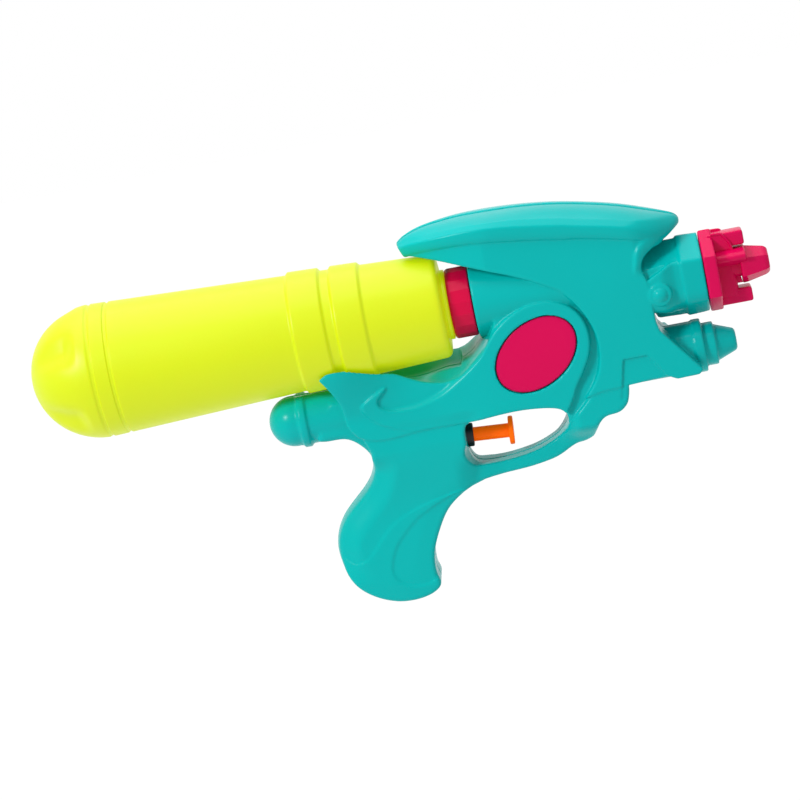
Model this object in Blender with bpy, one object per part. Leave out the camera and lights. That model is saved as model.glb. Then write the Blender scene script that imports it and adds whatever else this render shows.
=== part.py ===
# Water squirter: two moulded halves, a screw-on tank, a trigger pump with ball valves and a nozzle head.
# Sizes are in millimetres and are scaled to metres as each mesh is made.
# +X points out of the nozzle, -Y is the near side, +Z is up, and the origin is in the grip.

import math

import bmesh
import bpy
from mathutils import Matrix, Vector

MM = 0.001
CLEAR = 0.3
WALL = 2.0

TANK_Z = 93.4
TANK_REAR = -149.5
TANK_DOME = 31.0
TANK_R_REAR = 30.0
TANK_R_FRONT = 23.9
TANK_WALL = 1.3
TANK_FRONT = 37.0
BAND_RISE = 1.3
GROOVE_SINK = 0.8
NECK_R = 12.0
NECK_BORE = 9.8
NECK_FLANGE_R = 15.6
NECK_FLANGE_T = 3.0
NECK_LENGTH = 7.3
THREAD_PITCH = 4.0
THREAD_WIRE = 0.9
THREAD_TURNS = 1.1

COLLAR_R = 16.1
COLLAR_LENGTH = 10.3
COLLAR_FACETS = 18
COLLAR_NECK_R = 12.5
COLLAR_FLANGE_R = 14.6
COLLAR_FLANGE_T = 2.5
GASKET_T = 0.8
SPIGOT_R = 1.8
SPIGOT_BORE = 1.0
SPIGOT_LENGTH = 7.0
HOSE_R = 3.2
HOSE_LEAD = 8.0
DIP_REACH = 160.0
DIP_DROP = 19.0

SOCKET_R = 17.0
BARREL_Z = 86.7
BARREL_R = 18.3
BARREL_FRONT = 152.8
KNUCKLE_X = 132.0
KNUCKLE_Z = 83.4
KNUCKLE_R = 8.7
KNUCKLE_W = 17.9
LOWER_Z = 54.0
LOWER_R = 11.4
BOSS_Z = 54.2
BOSS_R = 11.4
TROUGH_GAP = 0.9

GRIP_W = 13.0
CORE_W = 16.0
FIN_W = 20.0
PLATE_W = 17.5
BROW_W = 20.5
RING_W = 18.2
GUARD_W = 6.5
RAMP_W = 14.0
TROUGH_REAR = -60.0
TROUGH_FRONT = 41.0
OPEN_CUT = 30.0
BEYOND = 200.0

OVAL_X = 73.7
OVAL_Z = 67.6
OVAL_A = 20.2
OVAL_B = 14.4
OVAL_TURN = math.radians(32.2)
OVAL_T = 2.2
OVAL_FLOOR = 15.0
OVAL_POST_R = 1.8
OVAL_POST_SPAN = 11.0

SCREW_R = 1.4
SCREW_HEAD_R = 2.9
SCREW_HEAD_T = 1.8
SCREW_BITE = 8.0
SCREW_SINK = 4.5
BOSS_POST_R = 3.9
SCREWS = {
    "screw_grip_low": (-8.0, -19.0, GRIP_W),
    "screw_grip_high": (0.0, 14.0, GRIP_W),
    "screw_saddle": (-9.0, 57.0, CORE_W),
    "screw_front": (117.0, 68.0, PLATE_W),
    "screw_wing_rear": (54.0, 119.0, PLATE_W),
    "screw_wing_front": (122.0, 107.0, PLATE_W),
}

PUMP_X = 39.3
PUMP_Z = 33.0
PUMP_TILT = math.radians(4.0)
PUMP_BORE = 5.6
PUMP_WALL = 1.7
PUMP_FRONT = -6.4
PUMP_LENGTH = 34.0
GLAND_REACH = 11.0
SHAFT_R = 3.2
SHAFT_LENGTH = 15.8
FLANGE_R = 6.4
FLANGE_T = 2.2
CUP_T = 4.0
TAIL_R = 2.4
SPRING_R = 3.9
SPRING_WIRE = 0.45
SPRING_TURNS = 6
RISER_TOP = 20.0
VALVE_Y = 5.5
VALVE_V = 16.0
VALVE_R = 4.2
VALVE_SOCKET = 5.0
VALVE_SEAT = 1.5
CHAMBER_R = 2.6
CAP_PLUG = 2.0
CAP_FLANGE = 2.0
BALL_R = 1.9
BALL_LIFT = 1.0
BALL_GAP = 0.2

NOZZLE_R = 18.3
NOZZLE_DISC = 5.9
NOZZLE_REACH = 182.0
NOZZLE_PLUG_R = 8.7
NOZZLE_FLANGE_R = 10.5
PRONG_W = 4.6
JET_R = 1.0

TEAL = (0.0, 0.42, 0.41)
YELLOW = (0.77, 0.89, 0.0)
PINK = (0.62, 0.001, 0.06)
ORANGE = (0.85, 0.11, 0.0)
BLACK = (0.01, 0.01, 0.01)
MILK = (0.75, 0.75, 0.72)
CLEARISH = (0.7, 0.75, 0.76)
STEEL = (0.55, 0.55, 0.56)


def clear_scene():
    for obj in list(bpy.data.objects):
        bpy.data.objects.remove(obj, do_unlink=True)


def finish(name, obj, rgb, roughness, metallic=0.0):
    # Scale to metres, name the object and give it a plain Principled material of its own.
    obj.data.transform(Matrix.Scale(MM, 4))
    obj.name = name
    obj.data.name = name
    mat = bpy.data.materials.new(name)
    mat.use_nodes = True
    shader = mat.node_tree.nodes["Principled BSDF"]
    shader.inputs["Base Color"].default_value = (*rgb, 1.0)
    shader.inputs["Roughness"].default_value = roughness
    shader.inputs["Metallic"].default_value = metallic
    obj.data.materials.clear()
    obj.data.materials.append(mat)
    return obj


def solid(bm, smooth=False, place=None):
    # Turn a bmesh drawn in millimetres into an object.
    bmesh.ops.recalc_face_normals(bm, faces=bm.faces)
    if bm.calc_volume(signed=True) < 0:
        bmesh.ops.reverse_faces(bm, faces=bm.faces)
    if place is not None:
        bm.transform(place)
    for face in bm.faces:
        face.smooth = smooth
    mesh = bpy.data.meshes.new("solid")
    bm.to_mesh(mesh)
    bm.free()
    obj = bpy.data.objects.new("solid", mesh)
    bpy.context.scene.collection.objects.link(obj)
    return obj


def discard(obj):
    mesh = obj.data
    bpy.data.objects.remove(obj, do_unlink=True)
    bpy.data.meshes.remove(mesh)


def bake(obj):
    # Replace the mesh by what its modifiers make of it.
    graph = bpy.context.evaluated_depsgraph_get()
    result = bpy.data.meshes.new_from_object(obj.evaluated_get(graph))
    obj.modifiers.clear()
    old = obj.data
    obj.data = result
    bpy.data.meshes.remove(old)
    return obj


def weld(bm, gap=0.003):
    # Close the hair-thin slivers that a cut leaves.
    bmesh.ops.remove_doubles(bm, verts=bm.verts, dist=gap)
    bmesh.ops.dissolve_degenerate(bm, edges=bm.edges, dist=gap)


def combine(body, tool, operation):
    # Join or cut a body with a tool, then throw the tool away.
    change = body.modifiers.new(operation.lower(), "BOOLEAN")
    change.operation = operation
    change.solver = "EXACT"
    change.object = tool
    bake(body)
    discard(tool)
    bm = bmesh.new()
    bm.from_mesh(body.data)
    weld(bm)
    bm.to_mesh(body.data)
    bm.free()
    return body


def join(body, tool):
    return combine(body, tool, "UNION")


def cut(body, tool):
    return combine(body, tool, "DIFFERENCE")


def tidy(obj, angle=0.8):
    # Weld near points and merge coplanar faces that the cuts left behind.
    bm = bmesh.new()
    bm.from_mesh(obj.data)
    weld(bm)
    bmesh.ops.dissolve_limit(bm, angle_limit=math.radians(angle), verts=bm.verts, edges=bm.edges)
    bmesh.ops.triangulate(bm, faces=bm.faces)
    bm.to_mesh(obj.data)
    bm.free()
    return obj


def copy_of(obj):
    twin = obj.copy()
    twin.data = obj.data.copy()
    bpy.context.scene.collection.objects.link(twin)
    return twin


def mirrored(obj):
    # Turn a far half into a near half.
    bm = bmesh.new()
    bm.from_mesh(obj.data)
    bmesh.ops.scale(bm, vec=(1.0, -1.0, 1.0), verts=bm.verts)
    bmesh.ops.reverse_faces(bm, faces=bm.faces)
    bm.to_mesh(obj.data)
    bm.free()
    return obj


def flow(points, cuts=2):
    # Smooth open curve through the points (Catmull-Rom), with a few steps between each pair.
    path = []
    last = len(points) - 1
    for i in range(last):
        p0 = points[max(i - 1, 0)]
        p1 = points[i]
        p2 = points[i + 1]
        p3 = points[min(i + 2, last)]
        for k in range(cuts):
            t = k / cuts
            spot = []
            for a, b, c, d in zip(p0, p1, p2, p3):
                bend = (2 * a - 5 * b + 4 * c - d) * t * t + (3 * b - a - 3 * c + d) * t ** 3
                spot.append(0.5 * (2 * b + (c - a) * t + bend))
            path.append(tuple(spot))
    path.append(tuple(points[last]))
    return path


def ellipse(cx, cz, a, b, turn, steps):
    spots = []
    for k in range(steps):
        t = 2 * math.pi * k / steps
        u = a * math.cos(t)
        v = b * math.sin(t)
        x = cx + u * math.cos(turn) - v * math.sin(turn)
        z = cz + u * math.sin(turn) + v * math.cos(turn)
        spots.append((x, z))
    return spots


def inset(loop, depth):
    # Move every point of a closed outline inwards along the bisector of its corner.
    count = len(loop)
    area = sum(loop[i - 1][0] * loop[i][1] - loop[i][0] * loop[i - 1][1] for i in range(count))
    side = 1.0 if area > 0 else -1.0
    moved = []
    for i, (x, z) in enumerate(loop):
        px, pz = loop[i - 1]
        nx, nz = loop[(i + 1) % count]
        ax, az = x - px, z - pz
        bx, bz = nx - x, nz - z
        la = math.hypot(ax, az)
        lb = math.hypot(bx, bz)
        mx = -az / la - bz / lb
        mz = ax / la + bx / lb
        size = math.hypot(mx, mz)
        stretch = min(2.0 / size, 1.4)
        moved.append((x + side * depth * stretch * mx / size, z + side * depth * stretch * mz / size))
    kept = [i for i, spot in enumerate(moved) if reach(spot, loop) > 0.93 * depth - 1e-6]
    return [moved[min(kept, key=lambda k: min((i - k) % count, (k - i) % count))] for i in range(count)]


def reach(spot, loop):
    # Shortest way from a point to a closed outline.
    best = 1e9
    for (ax, az), (bx, bz) in zip(loop, loop[1:] + loop[:1]):
        ux, uz = bx - ax, bz - az
        t = ((spot[0] - ax) * ux + (spot[1] - az) * uz) / (ux * ux + uz * uz)
        t = min(max(t, 0.0), 1.0)
        best = min(best, math.hypot(spot[0] - ax - t * ux, spot[1] - az - t * uz))
    return best


def slab(loop, levels, place=None):
    # Stack of outlines across Y, each with its own inset, closed at both ends.
    bm = bmesh.new()
    rings = []
    for y, depth in levels:
        rings.append([bm.verts.new((x, y, z)) for x, z in inset(loop, depth)])
    bm.faces.new(rings[0])
    bm.faces.new(rings[-1])
    for low, high in zip(rings, rings[1:]):
        for i in range(len(low)):
            bm.faces.new((low[i - 1], low[i], high[i], high[i - 1]))
    bmesh.ops.remove_doubles(bm, verts=bm.verts, dist=1e-4)
    return solid(bm, place=place)


def outer_form(loop, width, edge):
    return slab(loop, [(-2.0, 0.0), (width - edge, 0.0), (width - 0.3 * edge, 0.3 * edge), (width, edge)])


def inner_form(loop, width, edge):
    depth = width - WALL
    return slab(loop, [(-4.0, WALL), (depth - edge, WALL), (depth, WALL + edge)])


def lathe(profile, height=0.0, steps=24, turn=0.0, closed=False, smooth=True, place=None):
    # Spin (x, radius) pairs about a line along X.
    bm = bmesh.new()
    spots = [bm.verts.new((x, r * math.cos(turn), r * math.sin(turn))) for x, r in profile]
    lines = [bm.edges.new(pair) for pair in zip(spots, spots[1:])]
    if closed:
        lines.append(bm.edges.new((spots[-1], spots[0])))
    bmesh.ops.spin(
        bm, geom=spots + lines, cent=(0, 0, 0), axis=(1, 0, 0),
        angle=2 * math.pi, steps=steps, use_merge=True
    )
    bmesh.ops.remove_doubles(bm, verts=bm.verts, dist=1e-4)
    bmesh.ops.translate(bm, vec=(0, 0, height), verts=bm.verts)
    return solid(bm, smooth=smooth, place=place)


def rod(start, end, radius, height=0.0, steps=16, place=None):
    return lathe([(start, 0), (start, radius), (end, radius), (end, 0)], height, steps, place=place)


def ring(start, end, outer, inner, height=0.0, steps=24, place=None):
    shape = [(start, inner), (start, outer), (end, outer), (end, inner)]
    return lathe(shape, height, steps, closed=True, place=place)


def across(x, z):
    # Turn something lying along X so that it runs along +Y at the given place.
    return Matrix.Translation((x, 0, z)) @ Matrix.Rotation(math.pi / 2, 4, "Z")


def upright(x, y, z):
    # Turn something lying along X so that it stands along +Z.
    return Matrix.Translation((x, y, z)) @ Matrix.Rotation(-math.pi / 2, 4, "Y")


def block(x0, x1, y0, y1, z0, z1):
    bm = bmesh.new()
    size = Matrix.Diagonal((x1 - x0, y1 - y0, z1 - z0, 1))
    centre = Matrix.Translation(((x0 + x1) / 2, (y0 + y1) / 2, (z0 + z1) / 2))
    bmesh.ops.create_cube(bm, size=1, matrix=centre @ size)
    return solid(bm)


def curve_object(points, radius, sides, resolution, caps, kind):
    curve = bpy.data.curves.new("path", "CURVE")
    curve.dimensions = "3D"
    curve.bevel_depth = radius
    curve.bevel_resolution = sides
    curve.resolution_u = resolution
    curve.use_fill_caps = caps
    spline = curve.splines.new(kind)
    spline.points.add(len(points) - 1)
    for spot, (x, y, z) in zip(spline.points, points):
        spot.co = (x, y, z, 1.0)
    if kind == "NURBS":
        spline.order_u = 4
        spline.use_endpoint_u = True
    obj = bpy.data.objects.new("path", curve)
    bpy.context.scene.collection.objects.link(obj)
    graph = bpy.context.evaluated_depsgraph_get()
    mesh = bpy.data.meshes.new_from_object(obj.evaluated_get(graph))
    bpy.data.objects.remove(obj, do_unlink=True)
    bm = bmesh.new()
    bm.from_mesh(mesh)
    bpy.data.meshes.remove(mesh)
    bmesh.ops.remove_doubles(bm, verts=bm.verts, dist=1e-4)
    return bm


def hose(points):
    # Round tube along a smooth path, walled inwards.
    obj = solid(curve_object(points, HOSE_R, 2, 2, False, "NURBS"), smooth=True)
    wall = obj.modifiers.new("wall", "SOLIDIFY")
    wall.thickness = HOSE_R - SPIGOT_R - CLEAR
    wall.offset = -1.0
    wall.use_even_offset = True
    return bake(obj)


def helix(radius, pitch, start, turns, wire, per_turn, sides):
    # Coil about X that climbs one pitch each turn, in phase with x = 0.
    points = []
    count = round(turns * per_turn)
    for k in range(count + 1):
        x = start + turns * pitch * k / count
        t = 2 * math.pi * x / pitch
        points.append((x, radius * math.cos(t), radius * math.sin(t)))
    return curve_object(points, wire, sides, 1, True, "POLY")


PUMP = Matrix.Translation((PUMP_X, 0, PUMP_Z)) @ Matrix.Rotation(PUMP_TILT, 4, "Y")
PUMP_R = PUMP_BORE + PUMP_WALL
PUMP_BACK = PUMP_FRONT - PUMP_LENGTH
RISER_U = PUMP_BACK + 6.0
TROUGH_R = TANK_R_FRONT + 0.045 * 30 + BAND_RISE + TROUGH_GAP
FLANGE_FACE = TANK_FRONT + NECK_FLANGE_T
COLLAR_REAR = FLANGE_FACE + CLEAR
COLLAR_FRONT = COLLAR_REAR + COLLAR_LENGTH
SOCKET_REAR = COLLAR_FRONT + CLEAR
SOCKET_INNER = SOCKET_REAR + WALL
NECK_END = FLANGE_FACE + NECK_LENGTH
WEB_FACE = NECK_END + 2 * 0.2 + GASKET_T
COLLAR_END = SOCKET_INNER + CLEAR + COLLAR_FLANGE_T

GRIP = flow(
    [(-6.4, 40), (-6.6, 32.6), (-7.9, 25), (-12, 18.2), (-24, 6.2), (-29, -4.5), (-28.7, -15.5),
     (-24.6, -24.9), (-17.5, -30.8), (-8, -34.5), (1, -34.9), (8, -33), (11.6, -29.2), (11, -23),
     (12.6, -14), (17, -4), (23, 4.8), (32, 11.2), (40, 13.4)]
) + [(44, 24), (40, 50), (-4, 50)]
CORE = [(-17, 66), (-6, 71), (6, 72), (15, 68), (22, 64.5), (28, 62.6), (33, 62.4), (39, 64.2), (46, 69)]
CORE += [(52, 75), (58, 81.5), (64, 87), (72, 90), (80, 90), (104, 88), (116, 78), (116, 52), (96, 47)]
CORE += [(86, 39), (84, 34), (60, 41), (36, 41), (-1, 41), (-7.7, 42.5), (-12, 45.5)]
CORE += [(-14.4, 50), (-15.4, 55), (-17, 61.5)]
FIN = flow([(-22.8, 74.2), (-15.5, 76.8), (-6, 76), (4, 73.2), (12, 69.8)], 2)
FIN += [(14, 60), (0, 52), (-12, 51), (-15, 54), (-17, 61.5), (-20, 69.5)]
RAMP = [(26, 57), (31, 63.5), (36, 66.4), (41, 68.4), (46, 71.3), (50.8, 75.6), (57, 80), (66, 80), (62, 57)]
PLATE_SWEEP = flow([(49, 112), (62, 106.1), (80, 97), (95, 84), (101.5, 70), (100.5, 57), (93, 45)], 2)
PLATE_CHEEK = [(129, 67.6), (126, 75), (124, 90), (127.6, 96.5), (131, 102), (134.5, 104.8)]
PLATE_CHEEK += [(134, 112), (118, 117.5), (88, 122.6), (62, 124.4), (49, 124)]
PLATE_FOOT = [(108, 46), (129, 46.6), (133, 45.2), (143, 45.6), (144.6, 47), (136, 57.5)]
PLATE = PLATE_SWEEP + PLATE_FOOT + PLATE_CHEEK
PLATE_HOLLOW = PLATE_SWEEP + [(108, 46), (130, 46.8), (135, 52)] + PLATE_CHEEK
BROW = [
    (22.6, 2.5, 124.2, 123.4, 121.2), (26, 6.5, 127, 125, 120.2), (31, 10, 129.2, 126.2, 118.8),
    (38, 13.5, 130.8, 127.2, 116), (49, BROW_W - 3, 132.1, 127.9, 111.8), (60, BROW_W, 132.3, 127.9, 118.5),
    (75, BROW_W, 131.5, 126.9, 117), (90, BROW_W, 129.9, 124.7, 115), (105, BROW_W, 127, 121.9, 112.4),
    (120, BROW_W, 123, 118.7, 109.2), (132, BROW_W - 1.5, 118.9, 115.8, 105),
    (140, BROW_W - 5.5, 115.8, 113.9, 107), (145, BROW_W - 10.5, 113.7, 112.7, 108.8),
    (147.3, BROW_W - 15.5, 112.3, 111.8, 110.4)
]
GUARD = [(24, 6), (32, 11.2), (40, 13.6), (50, 14.4), (62, 15), (72, 17), (79, 20.1), (83.5, 22)]
GUARD += [(87, 21.8), (90.6, 23), (93.4, 25.6), (94.8, 29), (97.2, 31.4)]
GUARD += [(100.5, 32.2), (104.4, 33), (108, 36.2), (109.4, 39.6), (113, 42.5)]
GUARD += [(113, 52), (84, 52), (60, 32), (34, 32), (24, 22)]
FINGER_HOLE = [(35.2, 37.5), (36.2, 40.6), (38, 41.8), (48, 43.2), (61, 43.8), (72, 43), (79, 41.5)]
FINGER_HOLE += [(81.6, 39), (82.5, 36), (82, 33), (80, 29.8), (75, 25.9), (66, 22.4), (55, 20.6)]
FINGER_HOLE += [(45, 20.4), (39.2, 21.4), (36.3, 24.4), (35.2, 29)]
SOCKET = [(SOCKET_REAR, 0), (SOCKET_REAR, SOCKET_R - 1), (SOCKET_REAR + 1, SOCKET_R)]
SOCKET += [(98, SOCKET_R), (98, 0)]
SOCKET_HOLLOW = [(SOCKET_INNER, 0), (SOCKET_INNER, SOCKET_R - WALL), (96, SOCKET_R - WALL), (96, 0)]
BOSS = [(-49.5, 0), (-48.6, 4.4), (-46.1, 8), (-42.5, 10.5), (-38, BOSS_R), (-36.6, BOSS_R)]
BOSS += [(-35.6, BOSS_R + 0.9), (-32, BOSS_R + 0.9), (-31, BOSS_R), (-6, BOSS_R), (-6, 0)]
BOSS_HOLLOW = [(-47, 0), (-44, 6.5), (-38, BOSS_R - WALL), (-4, BOSS_R - WALL), (-4, 0)]
BARREL = [(116, 0), (116, BARREL_R - 1.4), (136, BARREL_R - 1.1), (143, BARREL_R)]
BARREL += [(BARREL_FRONT, BARREL_R), (BARREL_FRONT, 0)]
BARREL_HOLLOW = [(114, 0), (114, BARREL_R - 3.8), (136, BARREL_R - 3.5)]
BARREL_HOLLOW += [(BARREL_FRONT - WALL, BARREL_R - 2.4), (BARREL_FRONT - WALL, 0)]
LOWER = [(112, 0), (112, LOWER_R), (143, LOWER_R), (143.5, LOWER_R + 0.5), (147, LOWER_R + 0.5)]
LOWER += [(147.6, LOWER_R - 1.8), (152.3, LOWER_R - 1.8), (152.7, LOWER_R - 3.3), (159.6, LOWER_R - 6)]
LOWER += [(161.8, LOWER_R - 7), (161.8, 0)]
LOWER_HOLLOW = [(110, 0), (110, LOWER_R - WALL), (144.6, LOWER_R - WALL), (145.6, LOWER_R - 3.9)]
LOWER_HOLLOW += [(150.4, LOWER_R - 3.9), (150.8, LOWER_R - 5.4), (158, LOWER_R - 8), (158, 0)]


def loft(stations, start, wall):
    # Half of an arched bar: a crowned top, a thin edge and an underside at each (x, half, crown, edge, low).
    bm = bmesh.new()
    rings = []
    for x, half, crown, edge, low in stations:
        h = half - wall
        top = crown - wall
        drop = crown - edge
        lip = min(2.6, 0.5 * (edge - low))
        foot = low + wall
        shape = [(start, top), (0.5 * h, top - 0.25 * drop), (0.85 * h, top - 0.72 * drop)]
        shape += [(h, top - drop - 0.3), (h, max(edge - lip, foot + 0.4)), (0.8 * h, foot), (start, foot)]
        rings.append([bm.verts.new((x, y, z)) for y, z in shape])
    bm.faces.new(rings[0])
    bm.faces.new(rings[-1])
    for low, high in zip(rings, rings[1:]):
        for i in range(len(low)):
            bm.faces.new((low[i - 1], low[i], high[i], high[i - 1]))
    return solid(bm)


def oval(grow, y0, y1, edge=0.0):
    loop = ellipse(OVAL_X, OVAL_Z, OVAL_A + grow, OVAL_B + grow, OVAL_TURN, 26)
    return slab(loop, [(y0, 0.0), (y1 - edge, 0.0), (y1, edge)] if edge else [(y0, 0.0), (y1, 0.0)])


def shell_outer():
    body = loft(BROW, -2.0, 0.0)
    join(body, outer_form(PLATE, PLATE_W, 1.5))
    join(body, outer_form(CORE, CORE_W, 2.5))
    join(body, outer_form(FIN, FIN_W, 1.6))
    join(body, slab(GRIP, [(-2, 0), (GRIP_W - 5, 0), (GRIP_W - 1.6, 1.3), (GRIP_W, 3.6)]))
    join(body, outer_form(GUARD, GUARD_W, 1.4))
    join(body, outer_form(RAMP, RAMP_W, 1.5))
    rim = ellipse(OVAL_X + 0.8, OVAL_Z - 0.2, 25.2, 20.8, math.radians(40), 26)
    join(body, slab(rim, [(10, 0), (RING_W - 1.5, 0), (RING_W, 2.5)]))
    join(body, lathe(SOCKET, TANK_Z, 22))
    join(body, lathe(BOSS, BOSS_Z, 16))
    join(body, lathe(BARREL, BARREL_Z, 6, math.pi / 2))
    join(body, lathe(LOWER, LOWER_Z, 16))
    join(body, rod(0, KNUCKLE_W, KNUCKLE_R, steps=16, place=across(KNUCKLE_X, KNUCKLE_Z)))
    return body


def shell_hollow():
    space = loft(BROW[2:-2], -4.0, WALL)
    join(space, inner_form(PLATE_HOLLOW, PLATE_W, 1.5))
    join(space, inner_form(CORE, CORE_W, 2.5))
    steps = [(-4, WALL), (GRIP_W - 6, WALL), (GRIP_W - 3.2, 1.2 + WALL), (GRIP_W - WALL, 2.6 + WALL)]
    join(space, slab(GRIP, steps))
    join(space, lathe(SOCKET_HOLLOW, TANK_Z, 22))
    join(space, lathe(BOSS_HOLLOW, BOSS_Z, 12))
    join(space, lathe(BARREL_HOLLOW, BARREL_Z, 6, math.pi / 2))
    join(space, lathe(LOWER_HOLLOW, LOWER_Z, 12))
    cut(space, rod(TROUGH_REAR, TROUGH_FRONT + WALL, TROUGH_R + WALL, TANK_Z, 28))
    cut(space, slab(inset(FINGER_HOLE, -WALL), [(-6, 0), (30, 0)]))
    cut(space, oval(CLEAR + WALL, OVAL_FLOOR - WALL, 30))
    return space


def oval_posts():
    for span in (-OVAL_POST_SPAN, OVAL_POST_SPAN):
        yield OVAL_X + span * math.cos(OVAL_TURN), OVAL_Z + span * math.sin(OVAL_TURN)


def half_shell(body, driven):
    # Add posts and ribs to a far half, then make its holes; the driven half has the screw heads.
    for x, z, width in SCREWS.values():
        join(body, rod(-2, width - 1.0, BOSS_POST_R, steps=8, place=across(x, z)))
    for x in (13.0, 27.0):
        join(body, block(x - 0.8, x + 0.8, -2, 12, 25, 45))
    for x, z, width in SCREWS.values():
        if driven:
            cut(body, rod(-5, width, SCREW_R + CLEAR, steps=8, place=across(x, z)))
            cut(body, rod(width - SCREW_SINK, width + 8, SCREW_HEAD_R + CLEAR, steps=10, place=across(x, z)))
        else:
            cut(body, rod(-5, SCREW_BITE + 0.5, SCREW_R + CLEAR, steps=8, place=across(x, z)))
    for x, z in oval_posts():
        cut(body, rod(OVAL_FLOOR - 6, OVAL_FLOOR + 1, OVAL_POST_R + CLEAR, steps=8, place=across(x, z)))
    cut(body, rod(PUMP_BACK - 2, PUMP_FRONT + 0.35, PUMP_R + CLEAR, steps=24, place=PUMP))
    cut(body, rod(PUMP_FRONT - 1, 4, PUMP_BORE, steps=24, place=PUMP))
    cut(body, rod(SOCKET_REAR - 2, SOCKET_INNER + 1, COLLAR_NECK_R + CLEAR, TANK_Z, 24))
    cut(body, rod(BARREL_FRONT - WALL - 1, BARREL_FRONT + 2, NOZZLE_PLUG_R + CLEAR, BARREL_Z, 24))
    cut(body, block(-BEYOND, BEYOND, -BEYOND, CLEAR / 2, -BEYOND, BEYOND))
    return tidy(body)


def build_shells():
    body = shell_outer()
    cut(body, shell_hollow())
    cut(body, rod(TROUGH_REAR, TROUGH_FRONT, TROUGH_R, TANK_Z, 36))
    cut(body, slab(FINGER_HOLE, [(-6, 0), (OPEN_CUT, 0)]))
    cut(body, oval(CLEAR, OVAL_FLOOR, OPEN_CUT))
    near = mirrored(half_shell(copy_of(body), False))
    far = half_shell(body, True)
    finish("left_shell", near, TEAL, 0.3)
    finish("right_shell", far, TEAL, 0.3)


def build_screws():
    for name, (x, z, width) in SCREWS.items():
        seat = width - SCREW_SINK + 0.1
        shape = [(-SCREW_BITE, 0), (-SCREW_BITE + 1.5, SCREW_R), (seat, SCREW_R), (seat, SCREW_HEAD_R)]
        top = seat + SCREW_HEAD_T
        shape += [(top - 0.4 * SCREW_HEAD_T, SCREW_HEAD_R), (top, 0.6 * SCREW_HEAD_R), (top, 0)]
        finish(name, lathe(shape, steps=8, place=across(x, z)), STEEL, 0.35, 1.0)


def build_ovals():
    plate = oval(0.0, OVAL_FLOOR + CLEAR, OVAL_FLOOR + CLEAR + OVAL_T, 0.8)
    for x, z in oval_posts():
        join(plate, rod(OVAL_FLOOR - 4, OVAL_FLOOR + 1.2, OVAL_POST_R, steps=8, place=across(x, z)))
    tidy(plate)
    near = mirrored(copy_of(plate))
    finish("left_oval_cap", near, PINK, 0.25)
    finish("right_oval_cap", plate, PINK, 0.25)


def tank_radius(x):
    # Straight taper from the dome's rim to the plain front stretch.
    share = (x - TANK_REAR - TANK_DOME) / (20.0 - TANK_REAR - TANK_DOME)
    return TANK_R_REAR + (TANK_R_FRONT - TANK_R_REAR) * share


def build_tank():
    shape = [(TANK_REAR, 0)]
    for k in range(1, 7):
        t = math.radians(15 * k)
        shape.append((TANK_REAR + TANK_DOME * (1 - math.cos(t)), TANK_R_REAR * math.sin(t)))
    for x, rise in (
        (-113.2, 0), (-111.5, -GROOVE_SINK), (-109.8, 0), (-30, 0), (-28.4, BAND_RISE), (-15, BAND_RISE),
        (-13.6, -0.3), (-10.4, -0.3), (-9, BAND_RISE), (2.4, BAND_RISE), (4, 0), (31, 0)
    ):
        shape.append((x, tank_radius(x) + rise))
    shape += [(34.4, TANK_R_FRONT - 1.6), (36.4, TANK_R_FRONT - 4), (TANK_FRONT, NECK_FLANGE_R)]
    shape += [(FLANGE_FACE, NECK_FLANGE_R), (FLANGE_FACE, NECK_R), (NECK_END, NECK_R), (NECK_END, NECK_BORE)]
    shape += [(TANK_FRONT - TANK_WALL, NECK_BORE), (TANK_FRONT - TANK_WALL, NECK_FLANGE_R + 1.5)]
    shape += [(33, TANK_R_FRONT - TANK_WALL - 1.8)]
    for x in (30, -20, -112):
        shape.append((x, tank_radius(x) - TANK_WALL - 0.3))
    depth = TANK_DOME - TANK_WALL
    for k in range(6, 0, -1):
        t = math.radians(15 * k)
        x = TANK_REAR + TANK_WALL + depth * (1 - math.cos(t))
        shape.append((x, (TANK_R_REAR - TANK_WALL) * math.sin(t)))
    shape.append((TANK_REAR + TANK_WALL, 0))
    tank = lathe(shape, 0.0, 24)
    start = FLANGE_FACE + 1.5
    join(tank, solid(helix(NECK_R, THREAD_PITCH, start, THREAD_TURNS, THREAD_WIRE, 16, 1)))
    tidy(tank, 0.1)
    tank.location.z = TANK_Z * MM
    finish("tank", tank, YELLOW, 0.4)
    washer = ring(NECK_END + 0.2, NECK_END + 0.2 + GASKET_T, NECK_R, NECK_BORE, steps=24)
    washer.location.z = TANK_Z * MM
    finish("tank_gasket", washer, BLACK, 0.7)


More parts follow.
